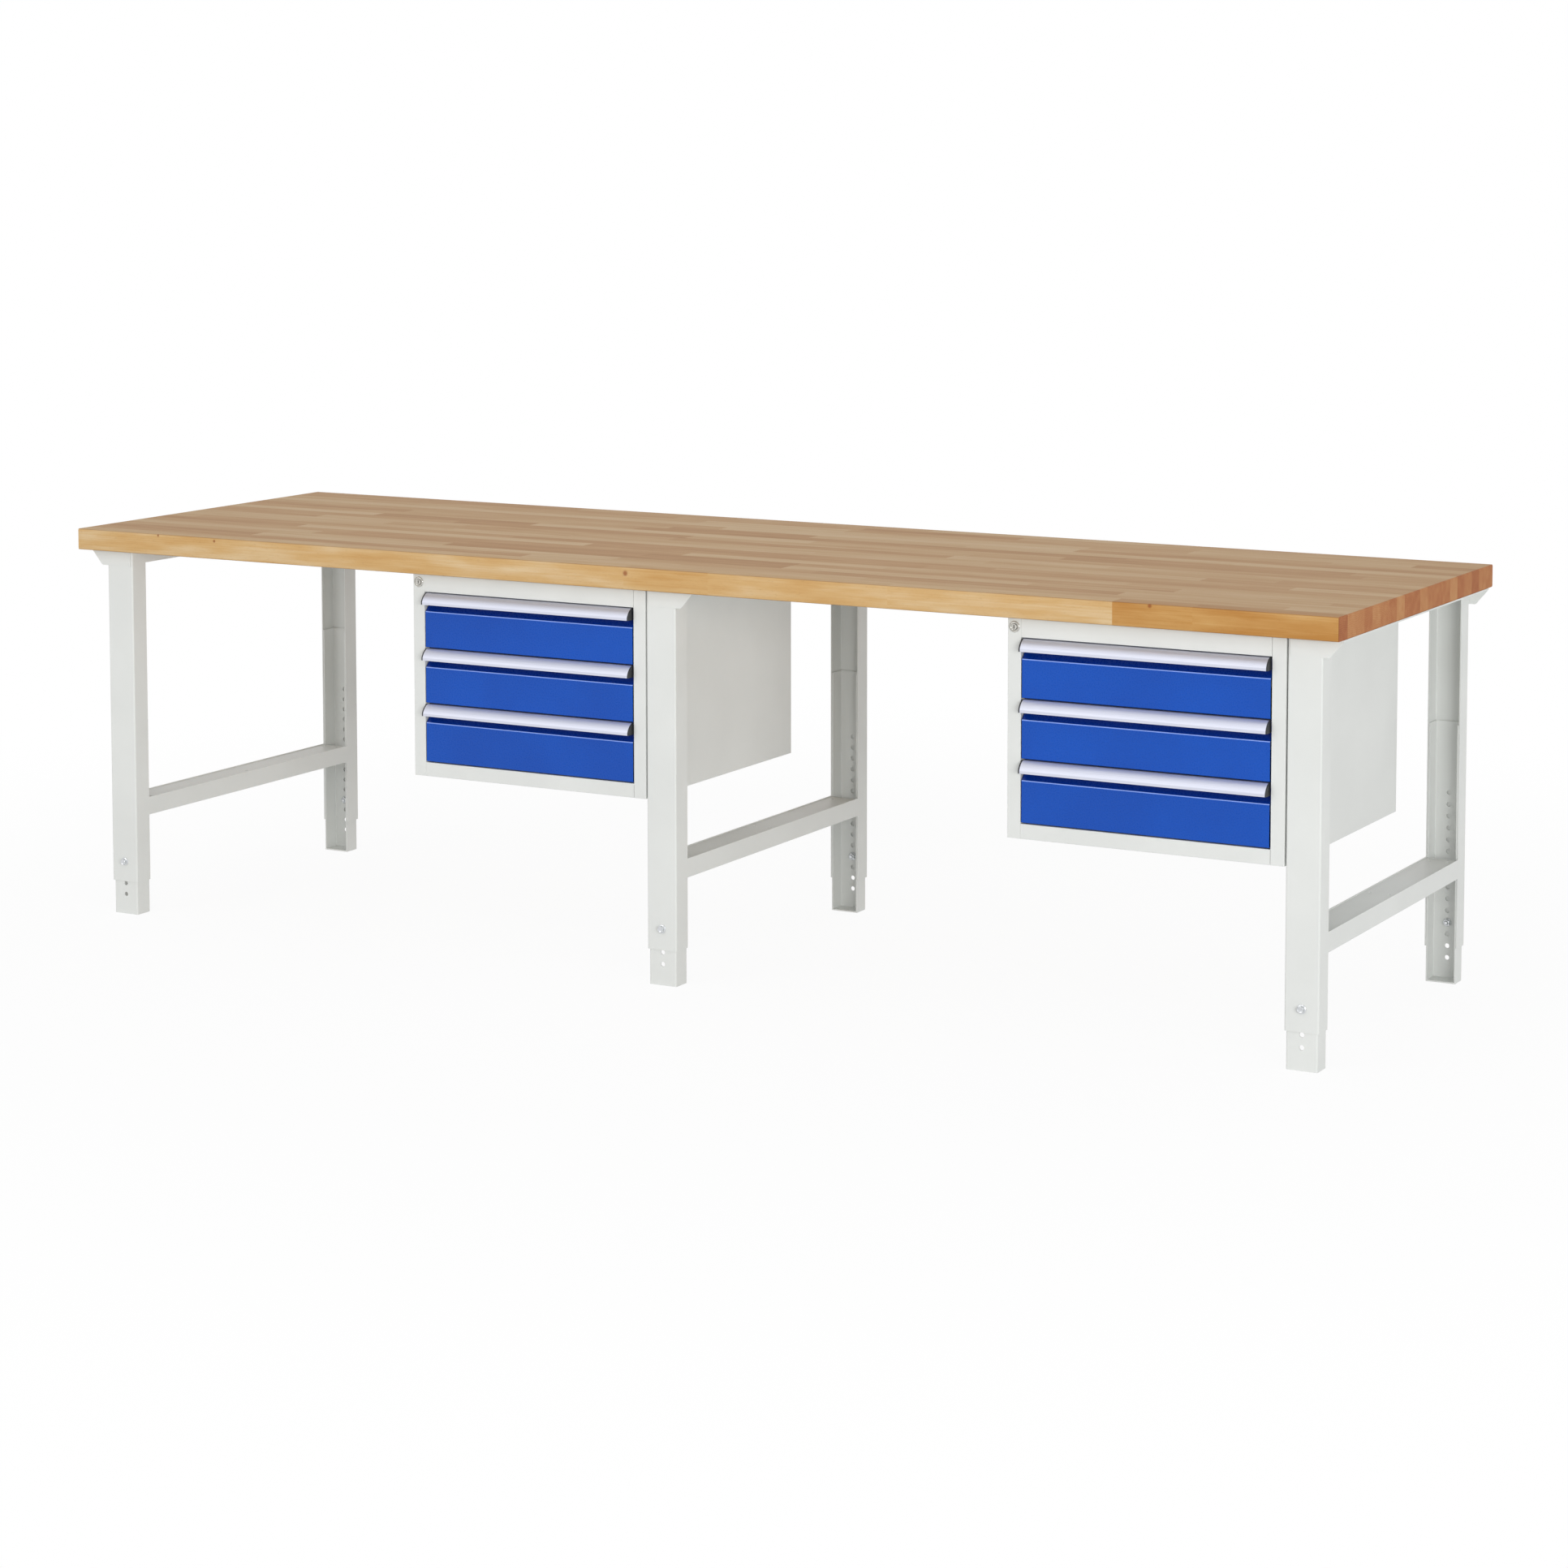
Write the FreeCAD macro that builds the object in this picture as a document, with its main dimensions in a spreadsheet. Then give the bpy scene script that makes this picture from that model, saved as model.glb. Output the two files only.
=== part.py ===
import FreeCAD, Part
import math
import os
import re
import Sketcher

# A height-adjustable workbench in millimetres: a beech worktop on three leg frames, with two drawer cabinets.
# The origin is on the floor under the middle of the worktop. X is to the right, Y to the back and Z up.

SIZES = {
    # worktop
    "worktop_length": 3000,
    "worktop_depth": 900,
    "worktop_thickness": 47,
    "worktop_chamfer": 1.5,
    "work_height": 875,
    # leg frames: places under the worktop
    "leg_setback": 27,
    "left_frame_inset": 97,
    "right_frame_inset": 76,
    "middle_frame_shift": 14,
    # outer legs: folded channels
    "leg_width": 70,
    "leg_depth": 46,
    "leg_sheet": 2.5,
    "leg_bend_radius": 3.5,
    "leg_lift": 75,
    # inner legs: channels that slide in the outer legs
    "inner_leg_length": 545,
    "inner_leg_sheet": 2.5,
    "inner_leg_clearance": 0.5,
    "inner_bend_radius": 3.5,
    "foot_plate": 3,
    "notch_pitch": 25,
    "notch_count": 15,
    "notch_clearance": 2,
    "lowest_notch": 45,
    "bolt_notch_count": 3,
    # height bolts and nuts
    "bolt_diameter": 8,
    "bolt_hole_clearance": 1,
    "bolt_flange_diameter": 18,
    "bolt_flange_thickness": 2,
    "bolt_head_corner_diameter": 15,
    "bolt_head_height": 6,
    "bolt_projection": 2,
    "nut_gap": 0.3,
    "nut_height": 8,
    "thread_gap": 0.1,
    # stretchers
    "stretcher_level": 223,
    "stretcher_height": 40,
    "stretcher_sheet": 2,
    "tread_drop": 2,
    "stretcher_hole_diameter": 8,
    "stretcher_hole_spacing": 40,
    "stretcher_hole_inset": 22,
    # top rails
    "rail_sheet": 3,
    "rail_web_height": 30,
    "gusset_sheet": 2,
    "gusset_height": 35,
    "gusset_reach": 41,
    "gusset_foot_reach": 14,
    "gusset_margin": 5,
    "gusset_corner_radius": 6,
    "rail_hole_edge": 18,
    "rail_hole_spacing": 300,
    # screws into the worktop
    "screw_diameter": 5,
    "screw_length": 35,
    "screw_head_diameter": 10,
    "screw_head_height": 3,
    # cabinets: housing and front frame
    "cabinet_width": 580,
    "cabinet_depth": 620,
    "cabinet_height": 439,
    "cabinet_gap": 3,
    "cabinet_sheet": 1.2,
    "cabinet_screw_side_inset": 80,
    "cabinet_screw_end_inset": 110,
    "frame_sheet": 1.5,
    "frame_edge_flat": 0.3,
    "stile_width": 28.5,
    "top_band": 40.5,
    "bottom_band": 30,
    "return_depth": 18,
    "frame_seam": 0.4,
    # runners inside the cabinets
    "post_width": 40,
    "post_sheet": 1.5,
    "rear_post_inset": 45,
    "runner_front_inset": 22,
    "runner_length": 560,
    "runner_height": 30,
    "runner_sheet": 1.5,
    "runner_gap": 0.4,
    "runner_drop": 60,
    "roller_diameter": 14,
    "roller_width": 10,
    "roller_inset": 10,
    "rear_roller_inset": 20,
    # drawers: spacing and trays
    "drawer_pitch": 120,
    "drawer_gap": 3,
    "drawer_side_gap": 2.5,
    "drawer_top_gap": 2.2,
    "drawer_bottom_gap": 2.5,
    "tray_side_clearance": 13.5,
    "rail_clearance": 0.6,
    "tray_depth": 560,
    "tray_height": 100,
    "tray_sheet": 1,
    "tray_drop": 8,
    "tray_rail_inset": 6,
    # drawer fronts
    "front_sheet": 1.2,
    "front_bend_radius": 1.8,
    "front_return": 15,
    "bend_drop": 40.3,
    "recess_depth": 18,
    "recess_rise": 18,
    "recess_bend_radius": 3,
    # handles
    "handle_height": 23.6,
    "handle_reach": 17,
    "handle_wall": 2,
    "handle_lip": 5.5,
    "handle_face_radius": 30,
    "handle_root_height": 12,
    "cap_thickness": 3,
    "cap_depth": 6,
    # locks and locking bars
    "lock_ring_diameter": 22.5,
    "lock_ring_thickness": 2,
    "lock_barrel_diameter": 18,
    "lock_barrel_length": 24,
    "lock_fit": 0.2,
    "plug_diameter": 12,
    "plug_proud": 0.6,
    "keyway_length": 7,
    "keyway_width": 1.8,
    "keyway_depth": 8,
    "cam_thickness": 2.5,
    "cam_radius": 12,
    "cam_width": 8,
    "cam_pin_diameter": 5,
    "cam_half_swing": 45,
    "fork_clearance": 0.7,
    "fork_cheek": 6,
    "locking_gap": 0.4,
    "locking_bar_thickness": 3,
    "locking_bar_left": 4,
    "locking_bar_width": 20,
    "locking_bar_floor_gap": 34,
    "tab_reach": 12,
    "tab_height": 8,
    "tab_drop": 32,
    "catch_reach": 9,
    "catch_height": 10,
    "catch_thickness": 4,
    "catch_drop": 19,
    "catch_gap": 1,
    # how far a cut runs past the faces that it opens
    "overrun": 1,
}

# Places and sizes that follow from the driving sizes, each as a formula of their names.
PLACES = {
    "worktop_bottom": "work_height - worktop_thickness",
    "leg_face": "worktop_depth / 2 - leg_setback",
    "left_frame": "left_frame_inset - worktop_length / 2",
    "middle_frame": "middle_frame_shift",
    "right_frame": "worktop_length / 2 - right_frame_inset",
    "outer_leg_length": "worktop_bottom - rail_sheet - leg_lift",
    "inner_width": "leg_width - 2 * leg_sheet - 2 * inner_leg_clearance",
    "inner_depth": "leg_depth - leg_sheet - 2 * inner_leg_clearance",
    "inner_face": "leg_face - leg_sheet - inner_leg_clearance",
    "notch_diameter": "bolt_diameter + notch_clearance",
    "bolt_height": "lowest_notch + bolt_notch_count * notch_pitch",
    "nut_seat": "leg_sheet + inner_leg_clearance + inner_leg_sheet + nut_gap",
    "bolt_length": "nut_seat + nut_height + bolt_projection",
    "frame_span": "2 * leg_face - 2 * leg_depth",
    "rail_end": "leg_face + gusset_sheet",
    "rail_width": "leg_width + gusset_reach",
    "pilot_diameter": "screw_diameter + 2 * thread_gap",
    "left_cabinet": "middle_frame - leg_width / 2 - cabinet_gap - cabinet_width",
    "right_cabinet": "right_frame - leg_width / 2 - cabinet_gap - cabinet_width",
    "cabinet_bottom": "worktop_bottom - cabinet_height",
    "frame_edge_radius": "frame_sheet - frame_edge_flat",
    "opening_width": "cabinet_width - 2 * stile_width",
    "opening_top": "worktop_bottom - top_band",
    "opening_height": "cabinet_height - top_band - bottom_band",
    "first_drawer_top": "opening_top - drawer_top_gap",
    "housing_inner_bottom": "cabinet_bottom + cabinet_sheet",
    "housing_inner_height": "cabinet_height - 2 * cabinet_sheet",
    "tray_side": "stile_width + tray_side_clearance",
    "tray_width": "cabinet_width - 2 * tray_side",
    "tray_front": "recess_depth + front_sheet",
    "rail_side": "stile_width + rail_clearance",
    "tray_rail_depth": "tray_side - rail_side",
    "post_face": "rail_side - runner_gap - runner_sheet",
    "post_depth": "post_face - cabinet_sheet",
    "runner_depth": "tray_side - runner_gap - post_face",
    "tray_rail_height": "runner_height - roller_diameter - 3 * runner_gap",
    "rear_roller_diameter": "runner_height - 2 * runner_gap",
    "rear_roller_place": "tray_front + tray_depth - rear_roller_inset",
    "front_width": "opening_width - 2 * drawer_side_gap",
    "front_height": "drawer_pitch - drawer_gap",
    "bottom_front_height": "opening_height - drawer_top_gap - 2 * drawer_pitch - drawer_bottom_gap",
    "recess_half_turn": "tan(atan(recess_depth / recess_rise) / 2)",
    "handle_length": "front_width - 2 * cap_thickness",
    "lock_place": "stile_width / 2",
    "lock_level": "worktop_bottom - top_band / 2",
    "cam_front": "lock_barrel_length + locking_gap",
    "locking_bar_front": "cam_front + cam_thickness + locking_gap",
    "front_post": "locking_bar_front + locking_bar_thickness + locking_gap",
    "pin_side": "cam_radius * cos(cam_half_swing * 1 deg)",
    "pin_fall": "cam_radius * sin(cam_half_swing * 1 deg)",
    "fork_half_height": "cam_pin_diameter / 2 + fork_clearance",
    "locking_bar_top": "lock_level - pin_fall + fork_half_height + fork_cheek",
    "locking_bar_bottom": "cabinet_bottom + locking_bar_floor_gap",
    "fork_start": "lock_place + pin_side - fork_half_height",
    "catch_place": "locking_bar_front + locking_bar_thickness + catch_gap",
}

doc = FreeCAD.newDocument("workbench")
sheet = doc.addObject("Spreadsheet::Sheet", "Sizes")
for row, (size_name, size_value) in enumerate(SIZES.items(), start=1):
    sheet.set(f"A{row}", size_name)
    sheet.set(f"B{row}", str(size_value))
    sheet.setAlias(f"B{row}", size_name)
doc.recompute()

nodes = []


def formula(text):
    """Opens every named place in a formula and points every size name at its cell of the sheet."""

    def open_word(found):
        word = found.group(0)
        if word in PLACES:
            return "(" + formula(PLACES[word]) + ")"
        if word in SIZES:
            return "Sizes." + word
        return word

    return re.sub(r"[a-z_]\w*", open_word, text)


def value(text):
    """The number that a formula gives now, for the first guess of a sketch."""
    found = sheet.evalExpression(formula(text))
    return float(getattr(found, "Value", found))


def bind(thing, bindings):
    for prop, text in bindings.items():
        thing.setExpression(prop, formula(text))


def seat(thing, x, y, z):
    bind(thing, {"Placement.Base.x": x, "Placement.Base.y": y, "Placement.Base.z": z})


def turned(thing, axis, degrees):
    thing.Placement = FreeCAD.Placement(FreeCAD.Vector(), FreeCAD.Rotation(axis, degrees))


SAME_PLACE = 1e-4
HEXAGON_SIDES = 6
X_AXIS = FreeCAD.Vector(1, 0, 0)
Y_AXIS = FreeCAD.Vector(0, 1, 0)
Z_AXIS = FreeCAD.Vector(0, 0, 1)
QUARTER_TURN = 90
HALF_TURN = 180


def node(thing, label):
    """Names a finished piece: its label is its file's name."""
    thing.Label = label
    nodes.append(thing)
    return thing


def block(name, length, width, height, x, y, z):
    thing = doc.addObject("Part::Box", name)
    bind(thing, {"Length": length, "Width": width, "Height": height})
    seat(thing, x, y, z)
    return thing


def rod(name, diameter, length, x, y, z, axis=None, degrees=0):
    """A round bar that starts at its place and runs along Z, or along Z turned about an axis."""
    thing = doc.addObject("Part::Cylinder", name)
    if axis is not None:
        turned(thing, axis, degrees)
    bind(thing, {"Radius": f"({diameter}) / 2", "Height": length})
    seat(thing, x, y, z)
    return thing


def cut(name, base, tool):
    thing = doc.addObject("Part::Cut", name)
    thing.Base = base
    thing.Tool = tool
    return thing


def joined(name, *pieces):
    thing = doc.addObject("Part::MultiFuse", name)
    thing.Shapes = list(pieces)
    return thing


def group(name, pieces):
    thing = doc.addObject("Part::Compound", name)
    thing.Links = list(pieces)
    return thing


def new_body(name, x, y, z, half_turn=False):
    thing = doc.addObject("PartDesign::Body", name)
    if half_turn:
        turned(thing, Z_AXIS, HALF_TURN)
    seat(thing, x, y, z)
    return thing


def origin_feature(body, role):
    return next(f for f in body.Origin.OriginFeatures if f.Role == role)


def new_sketch(body, name, plane, level="0"):
    """A sketch on one of the body's own origin planes, or level above it along the plane's normal."""
    thing = body.newObject("Sketcher::SketchObject", name)
    thing.AttachmentSupport = (origin_feature(body, plane), [""])
    thing.MapMode = "FlatFace"
    bind(thing, {"AttachmentOffset.Base.z": level})
    return thing


def hold_point(sketch, geometry, point, place):
    """Fixes a point of the sketch at its two distances from the origin."""
    for kind, axis, text in (("DistanceX", -2, place[0]), ("DistanceY", -1, place[1])):
        if text == "0":
            sketch.addConstraint(Sketcher.Constraint("PointOnObject", geometry, point, axis))
        else:
            index = sketch.addConstraint(Sketcher.Constraint(kind, -1, 1, geometry, point, value(text)))
            bind(sketch, {f"Constraints[{index}]": text})


def arc_between(start, end, radius, turns_left):
    """The short arc from start to end, with its centre on the left of the way if it turns left."""
    chord = end - start
    side = FreeCAD.Vector(-chord.y, chord.x, 0).normalize()
    rise = math.sqrt(radius**2 - (chord.Length / 2) ** 2)
    centre = (start + end) / 2 + side * (rise if turns_left else -rise)
    first, last = (start, end) if turns_left else (end, start)
    angles = [math.atan2(p.y - centre.y, p.x - centre.x) for p in (first, last)]
    return Part.ArcOfCircle(Part.Circle(centre, Z_AXIS, radius), *angles)


def outline(sketch, corners, arcs=None):
    """A closed outline through corners. arcs gives, by the corner it starts from, an arc's radius and side."""
    arcs = arcs or {}
    spots = [FreeCAD.Vector(value(x), value(y), 0) for x, y in corners]
    ends = []
    first = sketch.GeometryCount
    for i, start in enumerate(spots):
        end = spots[(i + 1) % len(spots)]
        if i in arcs:
            radius, turns_left = arcs[i]
            sketch.addGeometry(arc_between(start, end, value(radius), turns_left))
            ends.append((1, 2) if turns_left else (2, 1))
        else:
            sketch.addGeometry(Part.LineSegment(start, end))
            ends.append((1, 2))
    for i in range(len(spots)):
        after = (i + 1) % len(spots)
        joint = Sketcher.Constraint("Coincident", first + i, ends[i][1], first + after, ends[after][0])
        sketch.addConstraint(joint)
    for i, place in enumerate(corners):
        hold_point(sketch, first + i, ends[i][0], place)
    for i, (radius, _) in arcs.items():
        index = sketch.addConstraint(Sketcher.Constraint("Radius", first + i, value(radius)))
        bind(sketch, {f"Constraints[{index}]": radius})
    return sketch


def rectangle(sketch, x0, y0, x1, y1):
    return outline(sketch, [(x0, y0), (x1, y0), (x1, y1), (x0, y1)])


def circle(sketch, x, y, diameter):
    radius = f"({diameter}) / 2"
    centre = FreeCAD.Vector(value(x), value(y), 0)
    geometry = sketch.addGeometry(Part.Circle(centre, Z_AXIS, value(radius)))
    hold_point(sketch, geometry, 3, (x, y))
    index = sketch.addConstraint(Sketcher.Constraint("Radius", geometry, value(radius)))
    bind(sketch, {f"Constraints[{index}]": radius})


def pad(body, name, sketch, length, backwards=False):
    thing = body.newObject("PartDesign::Pad", name)
    thing.Profile = sketch
    thing.Reversed = backwards
    bind(thing, {"Length": length})
    doc.recompute()
    return thing


def pocket(body, name, sketch, backwards=False, depth=None):
    """Cuts a sketch through the body, or to a depth, and makes sure that it cut something."""
    before = body.Shape.Volume
    thing = body.newObject("PartDesign::Pocket", name)
    thing.Profile = sketch
    thing.Reversed = backwards
    if depth is None:
        thing.Type = "ThroughAll"
    else:
        bind(thing, {"Length": depth})
    doc.recompute()
    if not body.Shape.Volume < before:
        raise RuntimeError(f"{body.Name} {name} cuts nothing")
    return thing


def row_of(body, name, feature, role, length, count):
    """Repeats a feature in a straight row along one of the body's axes."""
    thing = body.newObject("PartDesign::LinearPattern", name)
    thing.Originals = [feature]
    thing.Direction = (origin_feature(body, role), [""])
    bind(thing, {"Length": length, "Occurrences": count})
    body.Tip = thing
    doc.recompute()
    return thing


def edges_at(feature, test):
    """The names of the feature's edges whose two ends both pass the test."""
    found = enumerate(feature.Shape.Edges, start=1)
    return [f"Edge{i}" for i, edge in found if all(test(v.Point) for v in edge.Vertexes)]


def rounded(body, name, feature, edges, radius):
    thing = body.newObject("PartDesign::Fillet", name)
    thing.Base = (feature, edges)
    bind(thing, {"Radius": radius})
    doc.recompute()
    return thing


def on_line(axes, places):
    """A test for points that lie at given places of given axes."""

    def test(point):
        spots = [getattr(point, axis) for axis in axes]
        return all(math.isclose(a, b, abs_tol=SAME_PLACE) for a, b in zip(spots, places))

    return test


def channel(body, width, depth, thickness, bend_radius, length):
    """A folded channel that stands on its end: web at the front, open at the back, bends rounded."""
    inner = f"{width} - {thickness}"
    corners = [
        ("0", "0"),
        (width, "0"),
        (width, depth),
        (inner, depth),
        (inner, thickness),
        (thickness, thickness),
        (thickness, depth),
        ("0", depth),
    ]
    profile = outline(new_sketch(body, body.Name + "_profile", "XY_Plane"), corners)
    feature = pad(body, body.Name + "_channel", profile, length)
    outside = [(0, 0), (value(width), 0)]
    inside = [(value(thickness), value(thickness)), (value(inner), value(thickness))]
    for kind, spots, radius in (
        ("outside", outside, bend_radius),
        ("inside", inside, f"{bend_radius} - {thickness}"),
    ):
        edges = [e for spot in spots for e in edges_at(feature, on_line("xy", spot))]
        feature = rounded(body, f"{body.Name}_{kind}_bends", feature, edges, radius)
    return feature


# The leg frames by name: the place of each, and whether its gussets and rail reach to the left.
FRAMES = {
    "left": ("left_frame", True),
    "middle": ("middle_frame", False),
    "right": ("right_frame", False),
}
ENDS = ("front", "rear")


def worktop_screw_places():
    """The screws through the top rails: two rows of three on each rail."""
    places = []
    for place, to_left in FRAMES.values():
        side = "-" if to_left else "+"
        for reach in ("rail_hole_edge - leg_width / 2", "leg_width / 2 + gusset_reach - rail_hole_edge"):
            for step in ("- rail_hole_spacing", "+ 0", "+ rail_hole_spacing"):
                places.append((f"{place} {side} ({reach})", f"0 {step}"))
    return places


def cabinet_screw_places():
    """The screws through the cabinets' tops: one near each corner."""
    places = []
    for cabinet in ("left_cabinet", "right_cabinet"):
        for x in ("cabinet_screw_side_inset", "cabinet_width - cabinet_screw_side_inset"):
            for y in ("cabinet_screw_end_inset", "cabinet_depth - cabinet_screw_end_inset"):
                places.append((f"{cabinet} + {x}", f"{y} - leg_face"))
    return places


def screw(name, x, y, under):
    """A wood screw that stands in the worktop, with its head under a sheet whose lower face is given."""
    shank = rod(name + "_shank", "screw_diameter", "screw_length", x, y, under)
    head = rod(name + "_head", "screw_head_diameter", "screw_head_height", x, y,
               f"{under} - screw_head_height")
    return joined(name, shank, head)


def make_worktop():
    board = new_body("worktop", "- worktop_length / 2", "- worktop_depth / 2", "worktop_bottom")
    plan = new_sketch(board, "worktop_plan", "XY_Plane")
    rectangle(plan, "0", "0", "worktop_length", "worktop_depth")
    slab = pad(board, "worktop_slab", plan, "worktop_thickness")
    holes = {
        "rail_pilots": (worktop_screw_places(), "screw_length - rail_sheet"),
        "cabinet_pilots": (cabinet_screw_places(), "screw_length - cabinet_sheet"),
    }
    edges = []
    for level in ("0", "worktop_thickness"):
        edges += edges_at(slab, on_line("z", [value(level)]))
    eased = board.newObject("PartDesign::Chamfer", "worktop_chamfer")
    eased.Base = (slab, edges)
    bind(eased, {"Size": "worktop_chamfer"})
    doc.recompute()
    for name, (places, depth) in holes.items():
        drilled = new_sketch(board, name + "_plan", "XY_Plane")
        for x, y in places:
            circle(drilled, f"worktop_length / 2 + {x}", f"worktop_depth / 2 + {y}", "pilot_diameter")
        pocket(board, name, drilled, True, f"{depth} + thread_gap")
    node(board, "worktop")
    rail_under = "worktop_bottom - rail_sheet"
    screws = [screw(f"rail_screw_{i}", x, y, rail_under) for i, (x, y) in enumerate(worktop_screw_places())]
    node(group("worktop_screw_set", screws), "worktop_screws")
    top_under = "worktop_bottom - cabinet_sheet"
    screws = [screw(f"cabinet_screw_{i}", x, y, top_under) for i, (x, y) in enumerate(cabinet_screw_places())]
    node(group("cabinet_screw_set", screws), "cabinet_screws")


def make_outer_leg(side, end, place):
    rear = end == "rear"
    x = f"{place} {'+' if rear else '-'} leg_width / 2"
    leg = new_body(f"{side}_{end}_outer", x, "leg_face" if rear else "- leg_face", "leg_lift", rear)
    channel(leg, "leg_width", "leg_depth", "leg_sheet", "leg_bend_radius", "outer_leg_length")
    hole = new_sketch(leg, leg.Name + "_hole_plan", "XZ_Plane")
    circle(hole, "leg_width / 2", "bolt_height - leg_lift", "bolt_diameter + bolt_hole_clearance")
    pocket(leg, leg.Name + "_hole", hole)
    node(leg, f"{side}_{end}_outer_leg")


def make_inner_leg(side, end, place):
    rear = end == "rear"
    x = f"{place} {'+' if rear else '-'} inner_width / 2"
    leg = new_body(f"{side}_{end}_inner", x, "inner_face" if rear else "- inner_face", "0", rear)
    channel(leg, "inner_width", "inner_depth", "inner_leg_sheet", "inner_bend_radius", "inner_leg_length")
    foot = new_sketch(leg, leg.Name + "_foot_plan", "XY_Plane")
    rectangle(foot, "inner_leg_sheet", "inner_leg_sheet", "inner_width - inner_leg_sheet", "inner_depth")
    pad(leg, leg.Name + "_foot", foot, "foot_plate")
    hole = new_sketch(leg, leg.Name + "_notch_plan", "XZ_Plane")
    circle(hole, "inner_width / 2", "lowest_notch", "notch_diameter")
    notch = pocket(leg, leg.Name + "_notch", hole)
    row_of(leg, leg.Name + "_notches", notch, "Z_Axis", "(notch_count - 1) * notch_pitch", "notch_count")
    node(leg, f"{side}_{end}_inner_leg")


def make_stretcher(side, place):
    bar = new_body(f"{side}_tread", f"{place} - leg_width / 2", "leg_depth - leg_face", "stretcher_level")
    tread = "stretcher_height - tread_drop"
    under = f"{tread} - stretcher_sheet"
    far = "leg_width - stretcher_sheet"
    corners = [
        ("0", "0"),
        ("stretcher_sheet", "0"),
        ("stretcher_sheet", under),
        (far, under),
        (far, "0"),
        ("leg_width", "0"),
        ("leg_width", "stretcher_height"),
        (far, "stretcher_height"),
        (far, tread),
        ("stretcher_sheet", tread),
        ("stretcher_sheet", "stretcher_height"),
        ("0", "stretcher_height"),
    ]
    profile = outline(new_sketch(bar, bar.Name + "_profile", "XZ_Plane"), corners)
    pad(bar, bar.Name + "_bar", profile, "frame_span", True)
    holes = new_sketch(bar, bar.Name + "_hole_plan", "XY_Plane")
    for y in ("stretcher_hole_inset", "frame_span / 2", "frame_span - stretcher_hole_inset"):
        for sign in "-+":
            circle(holes, f"leg_width / 2 {sign} stretcher_hole_spacing / 2", y, "stretcher_hole_diameter")
    pocket(bar, bar.Name + "_holes", holes, True)
    node(bar, f"{side}_stretcher")


def make_top_rail(side, place, to_left):
    """One folded piece: a flange under the worktop, a web between the legs and a gusset on each leg's face."""
    x = f"{place} {'+' if to_left else '-'} leg_width / 2"
    y = "rail_end" if to_left else "- rail_end"
    rail = new_body(f"{side}_rail", x, y, "worktop_bottom - gusset_height", to_left)
    flange = new_sketch(rail, rail.Name + "_flange_plan", "XY_Plane", "gusset_height - rail_sheet")
    rectangle(flange, "0", "0", "rail_width", "2 * rail_end")
    pad(rail, rail.Name + "_flange", flange, "rail_sheet")
    web = new_sketch(rail, rail.Name + "_web_plan", "XY_Plane", "gusset_height - rail_web_height")
    web_start = "gusset_sheet + leg_depth"
    rectangle(web, "0", web_start, "rail_sheet", f"{web_start} + frame_span")
    pad(rail, rail.Name + "_web", web, "rail_web_height - rail_sheet")
    plate = new_sketch(rail, rail.Name + "_gusset_plan", "XZ_Plane")
    corners = [
        ("gusset_margin", "0"),
        ("leg_width + gusset_foot_reach", "0"),
        ("rail_width", "gusset_height - rail_sheet"),
        ("rail_width", "gusset_height"),
        ("gusset_margin", "gusset_height"),
    ]
    outline(plate, corners)
    gusset = pad(rail, rail.Name + "_gusset", plate, "gusset_sheet", True)
    pair = row_of(rail, rail.Name + "_gussets", gusset, "Y_Axis", "2 * rail_end - gusset_sheet", "2")
    corners = edges_at(pair, on_line("xz", (value("leg_width + gusset_foot_reach"), 0)))
    rounded(rail, rail.Name + "_gusset_corners", pair, corners, "gusset_corner_radius")
    holes = new_sketch(rail, rail.Name + "_hole_plan", "XY_Plane")
    for hole_x in ("rail_hole_edge", "rail_width - rail_hole_edge"):
        for step in ("- rail_hole_spacing", "+ 0", "+ rail_hole_spacing"):
            circle(holes, hole_x, f"rail_end {step}", "pilot_diameter")
    pocket(rail, rail.Name + "_holes", holes, True)
    node(rail, f"{side}_top_rail")


def hexagon(name, corner_diameter, height, z):
    thing = doc.addObject("Part::Prism", name)
    thing.Polygon = HEXAGON_SIDES
    bind(thing, {"Circumradius": f"{corner_diameter} / 2", "Height": height})
    seat(thing, "0", "0", z)
    return thing


def make_fasteners():
    """A flanged bolt through each outer leg's face into a notch of the inner leg, and a flanged nut inside."""
    bolts = []
    nuts = []
    for side, (place, _) in FRAMES.items():
        for end in ENDS:
            rear = end == "rear"
            name = f"{side}_{end}"
            sign = "+" if rear else "-"
            shank = rod(name + "_shank", "bolt_diameter", "bolt_length", "0", "0", "- bolt_length")
            washer = rod(name + "_washer", "bolt_flange_diameter", "bolt_flange_thickness", "0", "0", "0")
            head = hexagon(name + "_head", "bolt_head_corner_diameter", "bolt_head_height",
                           "bolt_flange_thickness")
            bolt = joined(name + "_bolt", shank, washer, head)
            flange = rod(name + "_flange", "bolt_flange_diameter", "bolt_flange_thickness",
                         "0", "0", "- nut_seat - bolt_flange_thickness")
            flats = hexagon(name + "_flats", "bolt_head_corner_diameter", "nut_height - bolt_flange_thickness",
                            "- nut_seat - nut_height")
            bore = rod(name + "_bore", "bolt_diameter + 2 * thread_gap", "nut_height + 2 * overrun",
                       "0", "0", "- nut_seat - nut_height - overrun")
            nut = cut(name + "_nut", joined(name + "_nut_blank", flange, flats), bore)
            for thing in (bolt, nut):
                turned(thing, X_AXIS, -QUARTER_TURN if rear else QUARTER_TURN)
                seat(thing, place, f"0 {sign} leg_face", "bolt_height")
            bolts.append(bolt)
            nuts.append(nut)
    node(group("bolt_set", bolts), "leg_bolts")
    node(group("nut_set", nuts), "leg_nuts")


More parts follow.
